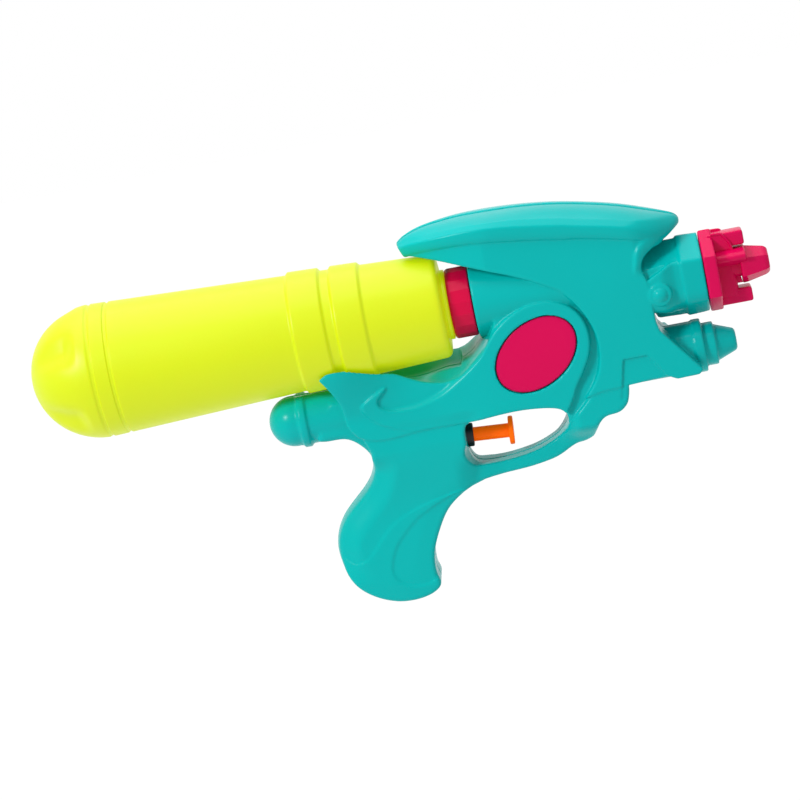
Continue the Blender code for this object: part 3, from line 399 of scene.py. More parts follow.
noseCurve = [
    (127.6, 90.6), (127.4, 95), (128, 98.6), (130.6, 101.4), (136.2, 103.6), (139.1, 105.2), (145.4, 109.7)]
outlines = dict(
    grip=np.vstack([flow([
        (-8.7, 43.6), (-6.7, 38), (-6.7, 32.6), (-8.5, 25.3), (-12.9, 18.8), (-25.3, 6.8), (-30.3, -4.3),
        (-29.3, -15.3), (-24.3, -24.3), (-17, -30.3), (-8, -33.9), (1, -34.5), (8.4, -32.8), (12.5, -29.2),
        (11.5, -23), (12.6, -14), (17, -4), (23, 4.8), (32, 11.2), (40, 13.4)]), [(46, 24), (40, 42.6)],
        flow([(36.7, 42.6), (30.3, 42.8), (23.2, 43), (16.2, 43.4), (8.8, 41.8), (1.5, 41.4), (-4, 42.1)])]),
    palm=np.vstack([flow([
        (-32, -6), (-28.4, -9.6), (-23.4, -13.4), (-18.6, -12.4), (-15.4, -10.2), (-4.5, 1), (6.1, 6.5), (17.3, 10),
        (29.5, 12.1)]),
        [(60, 14), (60, 70), (-60, 70), (-60, -6)]]),
    panel=np.vstack([flow([
        (26, 11), (22.2, 9.5), (13.5, 5.8), (6, 1.3), (-3.1, -7.8), (-7, -16), (-7.4, -20.5), (-5.4, -24.6),
        (-1.5, -27), (3.5, -28), (8.8, -27.2), (15, -24)]), [(40, -20), (40, 11)]]),
    under=np.vstack([flow([
        (-29, 44.6), (-25.4, 43.9), (-18.3, 43.7), (-14.3, 42.3), (-10.6, 39.2), (-7.9, 35.7), (-6.7, 32.5),
        (-6.6, 29)]),
        [(10, 28), (10, 62), (-20, 62), (-28, 56)]]),
    base=np.vstack([
        flow([(-21.8, 75.9), (-21.9, 75.2), (-19.4, 70.9), (-16.9, 65.7), (-15.2, 60.8), (-14.7, 56.2),
              (-14.3, 50.9), (-11.7, 46.4), (-8.7, 43.8), (-4, 42.1), (1.5, 41.4), (8.8, 41.8), (14.6, 42.4)]),
        [(22, 43), (36, 42.6), (60, 41), (82, 33), (90, 36), (100, 43), (116, 52), (116, 78), (104, 88), (80, 90),
         (72, 90), (64, 87), (62, 100), (-18, 100), (-20, 78)]]),
    core=np.vstack([
        flow([(5.6, 65), (2, 63.6), (-3, 60.9), (-5.7, 58.7), (-5.4, 56), (-3.3, 52.7), (0.3, 49.5), (6.1, 46.5),
              (11.5, 44.6), (16.2, 43.5), (23.2, 43), (30.3, 42.8), (36.7, 42.6)]),
        [(50, 42), (72, 41), (82, 38), (87, 46), (91, 56), (88, 70), (78, 78)],
        flow([(66, 84), (60, 81.2), (54, 75.6), (50, 71.2), (45, 66.6), (38, 61.6), (30, 57), (20, 53.9),
              (14, 53.3), (8, 53.6), (3.4, 55.2), (1, 57.6), (1.2, 60.4), (3.4, 62.8), (5.6, 65)])]),
    ring=ellipseLoop((74.6, 67.4), (25.1, 20.8), 40),
    ovalCut=ellipseLoop(shell["ovalCentre"], shell["ovalSemi"], shell["ovalTurn"]),
    plate=np.vstack([
        flow([(23.8, 119.4), (30, 118.3), (39.5, 115.6), (51.4, 111.2), (60, 107.9), (67.5, 104.9), (74, 102),
              (79.3, 99.3), (84.5, 96.4), (89.4, 93.2), (95, 86.5), (99.5, 78), (101.5, 70), (101.5, 63), (100, 56),
              (97, 50), (92, 43.9)]),
        [(100, 45.6), (108, 45.8), (129.4, 46.8), (133, 44.9), (143, 45.2), (145, 47)],
        [(129.2, 67.6), (128.2, 72), (128, 78), (128, 88)],
        flow(noseCurve + [(146.6, 111.4)]),
        [(140, 112), (130, 110), (126.2, 110)],
        flow(creaseRun[::-1] + [(31.7, 120.8)])]),
    cheek=np.vstack([
        flow(noseCurve + [(146.5, 111.2), (146.7, 112.8), (145.6, 114.8)]),
        [(140, 124), (140, 150), (0, 150), (0, 40), (170, 40), (170, 86), (130, 88)]]),
    guard=np.vstack([
        flow([(24, 6), (32, 11.2), (40, 13.6), (50, 14.5), (62, 15.3), (72, 16.9), (77, 18.6), (80.5, 20.4),
              (84.1, 21.9), (88.2, 22.5), (91.9, 24.1), (93.9, 27.5), (96.1, 31.5), (99.4, 33.8), (105.3, 34.7),
              (109.2, 37.6), (110.9, 42), (111.5, 46)]),
        [(113, 52), (99.4, 52), (96.9, 49.2), (92.9, 43.6), (88.1, 39), (83.5, 35.4), (78, 31), (60, 32), (34, 32),
         (24, 22)]]),
    link=np.vstack([
        [(131.5, 74.7), (128, 75.8), (125, 79), (123.8, 83.4), (125, 87.6), (127.4, 90.4)],
        flow([(130, 91.9), (134, 93.8), (138, 95.8), (142, 96.6)]),
        [(142.4, 96.6), (142.4, 73), (136, 73)]]),
    hole=flow([
        (36.3, 37.5), (37.1, 40.6), (39, 41.9), (48, 43.2), (61, 43.8), (72, 43), (79, 41.4), (81.8, 39),
        (82.5, 36), (82, 33), (80, 29.8), (75, 25.9), (66, 22.4), (55, 20.6), (45, 20.4), (39.8, 21.4),
        (37.2, 24.4), (36.2, 29)], closed=True),
    trap=np.array([(111, 58), (121.7, 58), (129.4, 46), (129, 40), (107, 40), (108.3, 45.4)]),
    barrelSide=np.vstack([
        [(160, 112), (126, 112)],
        flow([(126, 93), (124.8, 88), (123.8, 83.4), (124.6, 78.8), (127, 75), (129, 72), (130.4, 64)]),
        [(160, 64)]]),
)


def slabField(d, s, width, edge):
    # an outline carried sideways to a half-width, with a round edge: distance to a rounded rectangle in (d, s)
    a, b = d + edge, s - width + edge
    return np.minimum(np.maximum(a, b), 0) + np.sqrt(np.maximum(a, 0) ** 2 + np.maximum(b, 0) ** 2) - edge


def inside(d, width):
    # 1 inside an outline and 0 outside, with a soft step of the given width
    return smoothStep(0.5 - d / width)


# In the forms below x runs along the body, s is the distance from the seam, z is the height and d gives the distance to
# a named outline. A pair of numbers says where along x or z a change starts and where it ends.

saddleForm = dict(
    baseW=15.6, edge=0.9, rimEdge=1.3, flare=7.9, flareZ=(49, 79), flareX=(18, -16), footSwell=0.9, footZ=(56, 47),
    frontThin=1.0, frontX=(66, 78), bowlW=16.5, openRise=30, openX=(58, 66), troughEnd=40, troughSlope=3,
    coreW=17.1, coreFlare=0.9, coreEdge=0.6, ringBlend=3.0, ringRise=1.0, ringX=(20, 52),
    flushW=16.5, flushZ=(49, 43), flushX=(46, 38), slope=0.25, steep=0.95, steepX=(52, 38), ease=0.7, easeX=(14, 4),
    slopeZ=(48.8, 54.8), slopeDepth=2.2, bead=0.25, beadW=0.6, beadZ=(60, 55), beadX=(32, 12),
)


def saddleField(x, s, z, d, far, aroundTank):
    # the bowl under the tank, flaring to its tail, and the raised hook that runs into the ring round the oval
    k = saddleForm
    flare = k["flare"] * ramp(z, *k["flareZ"]) * ramp(x, *k["flareX"])
    width = k["baseW"] + flare + k["footSwell"] * ramp(z, *k["footZ"]) - k["frontThin"] * ramp(x, *k["frontX"])
    f = slabField(d("base"), s, width, k["edge"])
    middle = saddleMiddle(x)
    top = middle + (saddleEdge(x) + far * farRise(x) - middle) * smoothStep(s / k["bowlW"])
    clear = z - top - k["openRise"] * ramp(x, *k["openX"])
    f = softMax(f, clear, k["edge"])
    trough = shell["troughR"] - aroundTank - k["troughSlope"] * np.maximum(x - k["troughEnd"], 0)
    f = softMax(f, trough, k["rimEdge"])

    hook = softMin(d("core"), d("ring"), k["ringBlend"])
    width = k["coreW"] + k["coreFlare"] * flare + k["ringRise"] * ramp(x, *k["ringX"])
    width = width - (width - k["flushW"]) * ramp(z, *k["flushZ"]) * ramp(x, *k["flushX"])
    slope = k["slope"] + k["steep"] * ramp(x, *k["steepX"]) * (1 - k["ease"] * ramp(x, *k["easeX"]))
    slope = slope * ramp(z, *k["slopeZ"])
    core = slabField(hook - slope * np.clip(width - s, 0, k["slopeDepth"]), s, width, k["coreEdge"])
    f = softMin(f, softMax(core, clear, 0.8), 0.4)
    return f - k["bead"] * np.exp(-(hook / k["beadW"]) ** 2) * ramp(z, *k["beadZ"]) * ramp(x, *k["beadX"])


gripForm = dict(
    width=12.8, swell=3.6, swellZ=(2, 40), crown=0.5, crownIn=9, frontThin=5.5, frontX=(28, 45), frontZ=(30, 20),
    palmSink=0.45, panelSink=0.5, step=0.8, backThin=3.8, backIn=12, backRound=1.4, backLean=0.45, backX=(-2, 12),
    backTop=(35, 26), backFoot=(-24, -8), edge=1.8, topEdge=1.1, topEdgeZ=(36, 41), underW=10.5, underEdge=3.0,
    guardW=8.0, guardEdge=1.7, guardRear=2.0, guardRearX=(52, 36),
    guardFront=9.2, guardFrontX=(74, 88), guardFrontZ=(22, 32),
)


def addGrip(f, x, s, z, d):
    # the grip with its sunk palm and panel and its rounder back, the web behind it and the finger guard
    k = gripForm
    width = k["width"] + k["swell"] * ramp(z, *k["swellZ"]) + k["crown"] * ramp(-d("grip"), 0, k["crownIn"])
    width = width - k["frontThin"] * ramp(x, *k["frontX"]) * ramp(z, *k["frontZ"])
    back = ramp(k["backLean"] * z - x, *k["backX"]) * ramp(z, *k["backTop"]) * ramp(z, *k["backFoot"])
    width = width - k["palmSink"] * inside(d("palm"), k["step"]) - k["panelSink"] * inside(d("panel"), k["step"])
    width = width - k["backThin"] * back * (1 - ramp(-d("grip"), 0, k["backIn"]))
    outline = d("grip") + k["backRound"] * back * np.clip(s / width, 0, 1) ** 2
    f = softMin(f, slabField(outline, s, width, k["edge"] - k["topEdge"] * ramp(z, *k["topEdgeZ"])), 0.35)
    f = softMin(f, slabField(d("under"), s, k["underW"], k["underEdge"]), 1.0)
    width = k["guardW"] + k["guardRear"] * ramp(x, *k["guardRearX"])
    width = width + k["guardFront"] * ramp(x, *k["guardFrontX"]) * ramp(z, *k["guardFrontZ"])
    return softMin(f, slabField(d("guard"), s, width, k["guardEdge"]), 0.8)


wingForm = dict(
    plateW=17.8, plateEdge=0.6, plateInset=2.2, plateLeast=0.6, plateZ=(96, 104),
    rim=1.3, rimIn=5.4, rimLean=0.3, rimFrom=100, rimStep=1.5, rimZ=(93, 99), rimX=(112, 118),
    spread=0.25, spreadFront=(108, 102), spreadRear=(66, 82), spreadDepth=2.0,
    cheekEdge=0.5, cheekSoft=5.0, cheekZ=(90, 97),
    socketR=17.0, socketRear=50.9, socketFront=100.0, socketEdge=0.7,
    bevel=3.0, bevelShare=0.6, drop=2.6, dropShare=0.5, crownPower=2.2, seamRise=0.5, seamW=13, creaseGap=0.8,
    edge=0.25, noseEdge=4.5, noseX=(118, 136), tailX=22.0, tailLean=0.45, tailZ=124.2, tip=147.2, belowCrease=1.2,
)


def addWing(f, x, s, z, d, far, aroundTank):
    # the side plate, with the tank's socket behind it
    k = wingForm
    half, widest = browHalf(x), k["plateW"]
    width = widest - (widest - np.clip(half - k["plateInset"], k["plateLeast"], widest)) * ramp(z, *k["plateZ"])
    rim = d("cheek") + k["rimIn"] + k["rimLean"] * np.maximum(z - k["rimFrom"], 0)
    rim = k["rim"] * smoothStep(rim / k["rimStep"]) * ramp(z, *k["rimZ"]) * ramp(x, *k["rimX"])
    spread = k["spread"] * ramp(x, *k["spreadFront"]) * ramp(x, *k["spreadRear"])
    spread = spread * np.clip(width - s, 0, k["spreadDepth"])
    plate = slabField(d("plate") - spread, s, width + rim, k["plateEdge"])
    plate = softMax(plate, d("cheek"), k["cheekEdge"] + k["cheekSoft"] * ramp(z, *k["cheekZ"]))
    socket = slabField(k["socketRear"] - x, aroundTank, k["socketR"], k["socketEdge"])
    f = softMin(f, np.maximum(socket, x - k["socketFront"]), 0.5)
    f = softMin(f, plate, 0.4)

    # the wing: a crown with a bevel down to its lip, and a side that rolls in below the lip to the plate
    lip, crease, peak = browLip(x), browCrease(x), browCrown(x)
    fade = ramp(x, *k["noseX"])
    bevel = np.maximum(half - k["bevel"], k["bevelShare"] * half)
    drop = np.minimum(k["drop"], k["dropShare"] * (peak - lip))
    crown = peak - (peak - lip - drop) * np.clip(s / bevel, 0, 1) ** k["crownPower"]
    crown = crown - drop * np.maximum(s - bevel, 0) / (half - bevel)
    crown = crown + k["seamRise"] * far * np.exp(-(s / k["seamW"]) ** 2)
    under = np.clip((lip - z) / (lip - crease + k["creaseGap"]), 0, 1)
    side = s - half + (half - width) * (1 - np.sqrt(1 - under ** 2))
    wing = softMax(0.92 * (z - crown), 0.94 * side, k["edge"] + k["noseEdge"] * fade)
    tail = 0.9 * (k["tailX"] + k["tailLean"] * np.maximum(k["tailZ"] - z, 0) - x)
    wing = softMax(wing, crease - k["belowCrease"] - z, 0.3)
    wing = softMax(wing, np.maximum(tail, x - k["tip"]), 0.8)
    wing = softMax(wing, d("cheek") + 0.12 * s * fade, 0.4 + 1.6 * fade)
    return softMin(f, wing, 0.35)


bossForm = dict(z=54.2, r=11.4, dome=-38.1, end=-6, ring=(-36.4, -31.0), ringRise=1.2, ringStep=1.6, tankGap=0.5)


def addBoss(f, x, s, z, aroundTank):
    # the round rear boss with its dome and ring, cut clear of the tank's raised bands
    k = bossForm
    boss = np.hypot(np.minimum(x - k["dome"], 0), np.hypot(s, z - k["z"])) - k["r"]
    low, high = k["ring"]
    boss = boss - k["ringRise"] * smoothStep((x - low) / k["ringStep"]) * smoothStep((high - x) / k["ringStep"])
    boss = softMax(boss, shell["troughR"] + k["tankGap"] - aroundTank, 0.4)
    return softMin(f, np.maximum(boss, x - k["end"]), 0.6)


lowerForm = dict(
    z=54.0, start=112, bodyEnd=143.2, bodyR=11.4, bandEnd=147.3, bandR=11.95, neckEnd=152.6, neckR=9.6,
    coneStart=152.4, coneR=8.3, coneSlope=0.385, tip=161.8,
)


def addLowerNozzle(f, x, s, z):
    # a plain barrel, a raised band, a neck and a cone
    k = lowerForm
    r = np.hypot(s, z - k["z"])
    cone = k["coneR"] - k["coneSlope"] * np.maximum(x - k["coneStart"], 0)
    band = slabField(x - k["bandEnd"], r, k["bandR"], 0.7)
    lower = np.minimum(band, slabField(x - k["neckEnd"], r, k["neckR"], 0.6))
    lower = np.where(x < k["bodyEnd"], slabField(x - k["bodyEnd"], r, k["bodyR"], 0.2), lower)
    lower = np.minimum(lower, slabField(x - k["tip"], 0.93 * (r - cone), 0, 1.2))
    return softMin(f, np.maximum(lower, k["start"] - x), 0.5)


barrelForm = dict(
    front=152.8, edge=1.1, lowEdge=2.6, lowReach=6, sideEdge=1.6, linkW=15.2, linkSwell=2.75, linkInset=2.6,
    linkX=(141, 133), knuckle=(132.2, 83.5), knuckleR=5.1, knuckleFace=18.35, domeR=4.0, domeSink=16.1,
    scoopAt=(133.3, 15.4, 100.3), scoopTurn=(0.81, 0.59), scoopSemi=(7.0, 4.4, 3.7), scoopDepth=3.6,
)


def addBarrel(f, x, s, z, d):
    # the six-sided barrel, the scoop cut behind it, and the link with its round knuckle
    k = barrelForm
    rise = z - shell["barrelZ"]
    hexagon = softMax(s, 0.5 * s + 0.866 * np.abs(rise), k["edge"] + k["lowEdge"] * ramp(-rise, 0, k["lowReach"]))
    hexagon = hexagon - 0.866 * barrelRadius(x)
    barrel = softMax(softMax(hexagon, d("barrelSide"), k["sideEdge"]), x - k["front"], 0.5)
    swell = ramp(x, *k["linkX"])
    link = slabField(d("link"), s, k["linkW"] + k["linkSwell"] * swell, 0.8)
    link = softMax(link, hexagon - k["linkInset"] * swell - 0.1, 0.4)
    cx, cz = k["knuckle"]
    r = np.hypot(x - cx, z - cz)
    dome = np.hypot(r, s - k["domeSink"]) - k["domeR"]
    step = slabField(r - k["knuckleR"], s, k["knuckleFace"], 0.35)
    (mx, ms, mz), (c, t), (a, b, e) = k["scoopAt"], k["scoopTurn"], k["scoopSemi"]
    u, v = c * (x - mx) + t * (z - mz), c * (z - mz) - t * (x - mx)
    scoop = np.sqrt((u / a) ** 2 + (v / e) ** 2 + ((s - ms) / b) ** 2) - 1
    f = softMax(softMin(f, barrel, 0.4), -k["scoopDepth"] * scoop, 0.5)
    return softMin(f, softMin(link, softMin(dome, step, 0.3), 0.3), 0.3)


cutForm = dict(
    gapEdge=1.3, gapSlope=0.22, gapFrom=6, gapReach=9, gapX=(44, 38), gapZ=(34, 28), trapDepth=0.95,
    notchX=126.5, notchS=9, notchZ=67.5, notchHalf=4, screwR=3.3, screwDepth=4.6,
    screws=[(-8, -19, 12.6), (0, 14, 13.4), (-9, 57, 16.5), (117, 68, 17.8), (54, 119, 17.8), (122, 107, 17.8)],
)


def cutOpenings(f, x, s, z, d, far):
    # the finger gap, the oval's seat, the sunk field by the lower nozzle and the pump's mouth
    k = cutForm
    wide = k["gapSlope"] * np.clip(s - k["gapFrom"], 0, k["gapReach"]) * ramp(x, *k["gapX"]) * ramp(z, *k["gapZ"])
    f = softMax(f, wide - d("hole"), k["gapEdge"])
    f = softMax(f, -np.maximum(d("ovalCut"), shell["ovalFloor"] - s), 0.35)
    f = softMax(f, -softMax(d("trap"), wingForm["plateW"] - k["trapDepth"] - s, 0.5), 0.4)

    px, pz, tilt = shell["pump"]
    c, t = math.cos(math.radians(tilt)), math.sin(math.radians(tilt))
    lengthwise, across = (x - px) * c - (z - pz) * t, (x - px) * t + (z - pz) * c
    mouth = np.abs(lengthwise - shell["pumpMiddle"]) - shell["pumpReach"]
    f = softMax(f, -np.maximum(np.hypot(s, across) - shell["pumpBore"], mouth), 0.25)
    if far:
        # the far half alone: a notch between its barrel and lower nozzle, and the screw holes
        notch = np.minimum(np.minimum(x - k["notchX"], s - k["notchS"]), k["notchHalf"] - np.abs(z - k["notchZ"]))
        f = softMax(f, notch, 0.4)
        for sx, sz, face in k["screws"]:
            hole = np.maximum(np.hypot(x - sx, z - sz) - k["screwR"], face - k["screwDepth"] - s)
            f = softMax(f, -hole, 0.3)
    return f


def bodyField(x, s, z, d, far):
    # the whole outer form of a half, with a fine groove along the seam
    aroundTank = np.hypot(s, z - shell["tankZ"])
    f = saddleField(x, s, z, d, far, aroundTank)
    f = addGrip(f, x, s, z, d)
    f = addWing(f, x, s, z, d, far, aroundTank)
    f = addBoss(f, x, s, z, aroundTank)
    f = addLowerNozzle(f, x, s, z)
    f = addBarrel(f, x, s, z, d)
    f = cutOpenings(f, x, s, z, d, far)
    return f + shell["groove"] * np.clip(1 - (s - shell["seam"]) / shell["grooveW"], 0, 1)


def surfaceNet(value, axes):
    # one point in each grid cell that the surface crosses, in the mean of its crossed edges,
    # and a quad for each crossed edge
    solid = value < 0
    corners = [(i, j, k) for i in (0, 1) for j in (0, 1) for k in (0, 1)]
    cut = lambda a, o: a[tuple(slice(c, n - 1 + c) for c, n in zip(o, a.shape))]
    count = sum(cut(solid, o).astype(np.int8) for o in corners)
    cells = np.argwhere((count > 0) & (count < 8))
    index = np.full(count.shape, -1)
    index[tuple(cells.T)] = np.arange(len(cells))
    total, hits = np.zeros((len(cells), 3)), np.zeros(len(cells))
    for o in corners:
        for axis in range(3):
            if o[axis]:
                continue
            end = np.array(o)
            end[axis] = 1
            va, vb = [value[tuple((cells + e).T)] for e in (o, end)]
            crossed = (va < 0) != (vb < 0)
            t = np.where(crossed, va / np.where(crossed, va - vb, 1), 0)
            spot = np.array(o) + t[:, None] * (end - np.array(o))
            total += np.where(crossed[:, None], spot, 0)
            hits += crossed
    spots = cells + total / hits[:, None]
    points = np.stack([np.interp(spots[:, a], np.arange(len(g)), g) for a, g in enumerate(axes)], 1)
    quads = []
    for axis in range(3):
        b, c = (axis + 1) % 3, (axis + 2) % 3
        lower, upper = [slice(None)] * 3, [slice(None)] * 3
        lower[axis], upper[axis] = slice(None, -1), slice(1, None)
        edges = np.argwhere(solid[tuple(lower)] != solid[tuple(upper)])
        edges = edges[(edges[:, b] > 0) & (edges[:, c] > 0)]
        edges = edges[(edges[:, b] < count.shape[b]) & (edges[:, c] < count.shape[c])]
        ring = []
        for db, dc in ((0, 0), (-1, 0), (-1, -1), (0, -1)):
            cell = edges.copy()
            cell[:, b] += db
            cell[:, c] += dc
            ring.append(index[tuple(cell.T)])
        quad = np.stack(ring, 1)
        quads.append(np.where(solid[tuple(edges.T)][:, None], quad, quad[:, ::-1]))
    return points, np.vstack(quads), cells


def skinBody(name, far, maps):
    # skin one half, draw its points onto the true surface, close it along the seam and turn it to its own side
    k = shell
    step, seam = k["cell"], k["seam"]
    s = (seam + step * (np.arange(int(k["depth"] / step)) - 0.5)).astype(np.float32)
    grid = gridX[:, None, None], np.abs(s)[None, :, None], gridZ[None, None, :]
    value = bodyField(*grid, lambda n: maps[n][:, None, :], far).astype(np.float32)
    value[:, 0] = step
    points, quads, cells = surfaceNet(value, (gridX, s, gridZ))
    onSeam = cells[:, 1] == 0
    points[onSeam, 1] = seam
    a, b = cells[:, 0], cells[:, 2]
    corners = sum((value[a + i, 1, b + j] < 0).astype(int) for i in (0, 1) for j in (0, 1))
    flat = onSeam & (corners == 4)

    def sample(p):
        # the field at free points, from the outline maps
        fx = np.clip((p[:, 0] - gridX[0]) / step, 0, len(gridX) - 1.001)
        fz = np.clip((p[:, 2] - gridZ[0]) / step, 0, len(gridZ) - 1.001)
        i, j = fx.astype(int), fz.astype(int)
        a, b = fx - i, fz - j

        def read(n):
            m = maps[n]
            low, high = m[i, j] * (1 - a) + m[i + 1, j] * a, m[i, j + 1] * (1 - a) + m[i + 1, j + 1] * a
            return low * (1 - b) + high * b

        return bodyField(p[:, 0], np.abs(p[:, 1]), p[:, 2], read, far)

    nudge = 0.06

    def draw(p):
        # one step along the slope of the field, no longer than half a cell
        slope = [(sample(p + nudge * axis) - sample(p - nudge * axis)) / (2 * nudge) for axis in np.eye(3)]
        slope = np.stack(slope, 1)
        slope[onSeam, 1] = 0
        move = -(sample(p) / np.maximum((slope ** 2).sum(1), 0.05))[:, None] * slope
        move[flat] = 0
        length = np.linalg.norm(move, axis=1, keepdims=True)
        return p + move * np.minimum(1, 0.5 * step / np.maximum(length, 1e-9))

    level = onSeam.astype(int) - flat
    ends = np.vstack([np.stack([quads[:, i], quads[:, (i + 1) % 4]], 1) for i in range(4)])
    a, b = ends.T
    free = (level[a] == 0) & ~flat[a] & ~flat[b]
    a, b = ends[free | (level[a] == 1) & (level[b] == 1)].T  # points on the seam's rim follow only each other
    for turn in range(4):
        if turn:
            # even out the net: each point moves part of the way to the mean of its neighbours
            count = np.bincount(a, minlength=len(points))
            total = [np.bincount(a, points[b, i], len(points)) for i in range(3)]
            mean = np.stack(total, 1) / np.maximum(count, 1)[:, None]
            points = np.where(count[:, None] > 0, 0.5 * points + 0.5 * mean, points)
            points[onSeam, 1] = seam
        points = draw(points)
    points = draw(draw(points))
    if not far:
        points[:, 1] *= -1
        quads = quads[:, ::-1]
    obj = putMesh(name, points, quads.tolist())
    sharpen(obj, 60)
    print(name, "skinned with", len(obj.data.polygons), "faces")
    return obj


gridX, gridZ = [np.arange(*span, shell["cell"]).astype(np.float32) for span in shell["span"]]
outlineMaps = {n: outlineDistance(loop, gridX[:, None], gridZ[None, :]) for n, loop in outlines.items()}
print("outlines measured")
place(skinBody("nearBodyHalf", 0, outlineMaps), "body", "left_shell", teal)
place(skinBody("farBodyHalf", 1, outlineMaps), "body", "right_shell", teal)


# The tank: a blow-moulded bottle with a fluted round end, grooves and two raised bands

tankSizes = dict(rear=-149.5, dome=31.0, rearR=30.0, frontR=23.9, plainX=20.0, front=37.0, flangeR=15.6, flangeT=3.0,
                 neckR=12.0, neckLength=7.3, bore=9.8, flutes=5, fluteDepth=0.11, pitch=4.0, wire=0.9, turns=1.1,
                 grooves=(-118.4, -110.2), grooveDepth=0.55, grooveW=2.4,
                 bands=((-29.6, 1.6, -15.2, 1.5), (-10.4, 1.5, 2.4, 1.8)), bandRise=1.35)


def tankRadius(x):
    # straight taper from the dome's rim to the plain front stretch
    k = tankSizes
    share = (x - k["rear"] - k["dome"]) / (k["plainX"] - k["rear"] - k["dome"])
    return k["rearR"] + (k["frontR"] - k["rearR"]) * share


def trough(x, centre, width):
    # a flat-bottomed groove with short steep sides
    return smoothStep((x - centre + width / 2) / 0.6) * smoothStep((centre + width / 2 - x) / 0.6)


def makeTank():
    k = tankSizes
    t = np.linspace(0.02, math.pi / 2, 110)
    domeX = k["rear"] + k["dome"] * (1 - np.cos(t))
    dome = np.stack([domeX, k["rearR"] * np.sin(t)], 1)
    x = np.concatenate([np.linspace(k["rear"] + k["dome"], -106, 90)[1:], np.linspace(-106, 30, 340)[1:]])
    r = tankRadius(x)
    for at in k["grooves"]:
        r = r - k["grooveDepth"] * trough(x, at, k["grooveW"])
        dome[:, 1] -= k["grooveDepth"] * trough(dome[:, 0], at, k["grooveW"])
    band = 0
    for start, up, end, down in k["bands"]:
        band = band + smoothStep((x - start) / up) - smoothStep((x - end) / down)
    r = r + k["bandRise"] * band
    neck = k["front"] + k["flangeT"]
    mouth, flange = neck + k["neckLength"], k["flangeR"]
    shoulder = softCorners([
        (30, tankRadius(30)), (37.4, tankRadius(37.4)), (38.1, flange + 1.0), (38.3, flange - 0.2)], 3.0, 9)
    front = softCorners([
        (38.3, flange - 0.2), (38.4, flange), (neck, flange), (neck, k["neckR"]), (mouth, k["neckR"]),
        (mouth, k["bore"]), (k["front"] - 6, k["bore"])], 0.5)
    profile = np.vstack([dome, np.stack([x, r], 1), shoulder[1:], front[1:]])

    def flutes(px, angle):
        # hollows round the dome that fade out at its pole and at its rim
        share = np.clip((px - k["rear"]) / k["dome"], 0, 1)
        depth = k["fluteDepth"] * smoothStep(share / 0.45) * smoothStep((0.84 - share) / 0.22)
        return 1 - depth * (0.5 + 0.5 * np.cos(k["flutes"] * angle)) ** 3

    bottle = turned(profile, shell["tankZ"], 192, flutes)
    climb = np.linspace(0, k["turns"], 60)
    start = neck + 1.5
    spin = 2 * math.pi * (start / k["pitch"] + climb)
    thread = [start + k["pitch"] * climb, k["neckR"] * np.cos(spin), k["neckR"] * np.sin(spin) + shell["tankZ"]]
    thread = np.stack(thread, 1)
    return outward(putMesh("tankBottle", *merged(bottle, tube(thread, k["wire"]))))


place(makeTank(), "tank", "tank", yellow)
print("tank made")


# The collar: a faceted cup round the tank's neck, and a neck of its own in the socket

collarSizes = dict(rear=40.3, front=50.6, r=15.9, facets=18, neckR=12.5, neckLength=2.6, bore=12.9, floor=48.4)


def facetShape(count, share=1.0):
    # radius of a regular polygon by angle, its flats square to the bisector of each corner
    def shape(px, angle):
        half = math.pi / count
        off = (angle + half) % (2 * half) - half
        return 1 - share * (1 - math.cos(half) / np.cos(off))

    return shape


def makeCollar():
    k = collarSizes
    rear, front, r, end = k["rear"], k["front"], k["r"], k["front"] + k["neckLength"]
    outer = softCorners([
        (k["floor"], 0.4), (k["floor"], k["bore"]), (rear, k["bore"]), (rear, r - 0.9), (rear + 1.0, r),
        (front, r), (front, k["neckR"]), (end, k["neckR"]), (end, 0.4)], 0.9, 6)
    facets = facetShape(k["facets"])
    shape = lambda px, angle: np.where(px < front + 0.3, facets(px, angle), 1)
    collar = turned(outer, shell["tankZ"], k["facets"] * 12, shape)
    return sharpen(outward(putMesh("tankCollar", *collar)), 24)


place(makeCollar(), "body", "tank_collar", collarPink)


# The oval plates: a crowned oval with a round edge

ovalSizes = dict(semi=(20.1, 14.3), floor=15.3, face=17.35, crown=0.15, edge=0.7)


def makeOval(name, side):
    # rings of an ellipse from the back face round the edge to the crowned front
    k = ovalSizes
    edge = np.linspace(0, math.pi / 2, 7)
    wide, high = k["semi"]
    rows = [(0.3, k["floor"])]
    rows += [(k["edge"] * (1 - math.cos(a)), k["face"] - k["edge"] * (1 - math.sin(a))) for a in edge]
    for t in (0.06, 0.2, 0.4, 0.6, 0.8, 0.97):
        rows.append((k["edge"] + (high - k["edge"]) * t, k["face"] + k["crown"] * (1 - (1 - t) ** 2)))
    grid = []
    for depth, y in rows:
        shrink = 1 - depth / high
        loop = ellipseLoop(shell["ovalCentre"], (wide * shrink, high * shrink), shell["ovalTurn"], 140)
        grid.append(np.stack([loop[:, 0], np.full(len(loop), side * y), loop[:, 1]], -1))
    return outward(putMesh(name, *closedGrid(np.array(grid))))


place(makeOval("nearOval", -1), "body", "left_oval_cap", pink)
place(makeOval("farOval", 1), "body", "right_oval_cap", pink)


# The nozzle head: six-sided flange and cone, two prongs with gussets, a web and a jet hole

nozzleSizes = dict(face=153.1, front=159.0, r=18.4, reach=182.0, prongW=4.6, jet=1.1, plugR=8.7, plugFlange=10.5)


def turnedHex(profile, sides=6 * 16):
    # six-sided turning with upright flats at its sides and a corner at the top
    return turned(profile, shell["barrelZ"], sides, facetShape(6, 0.98))


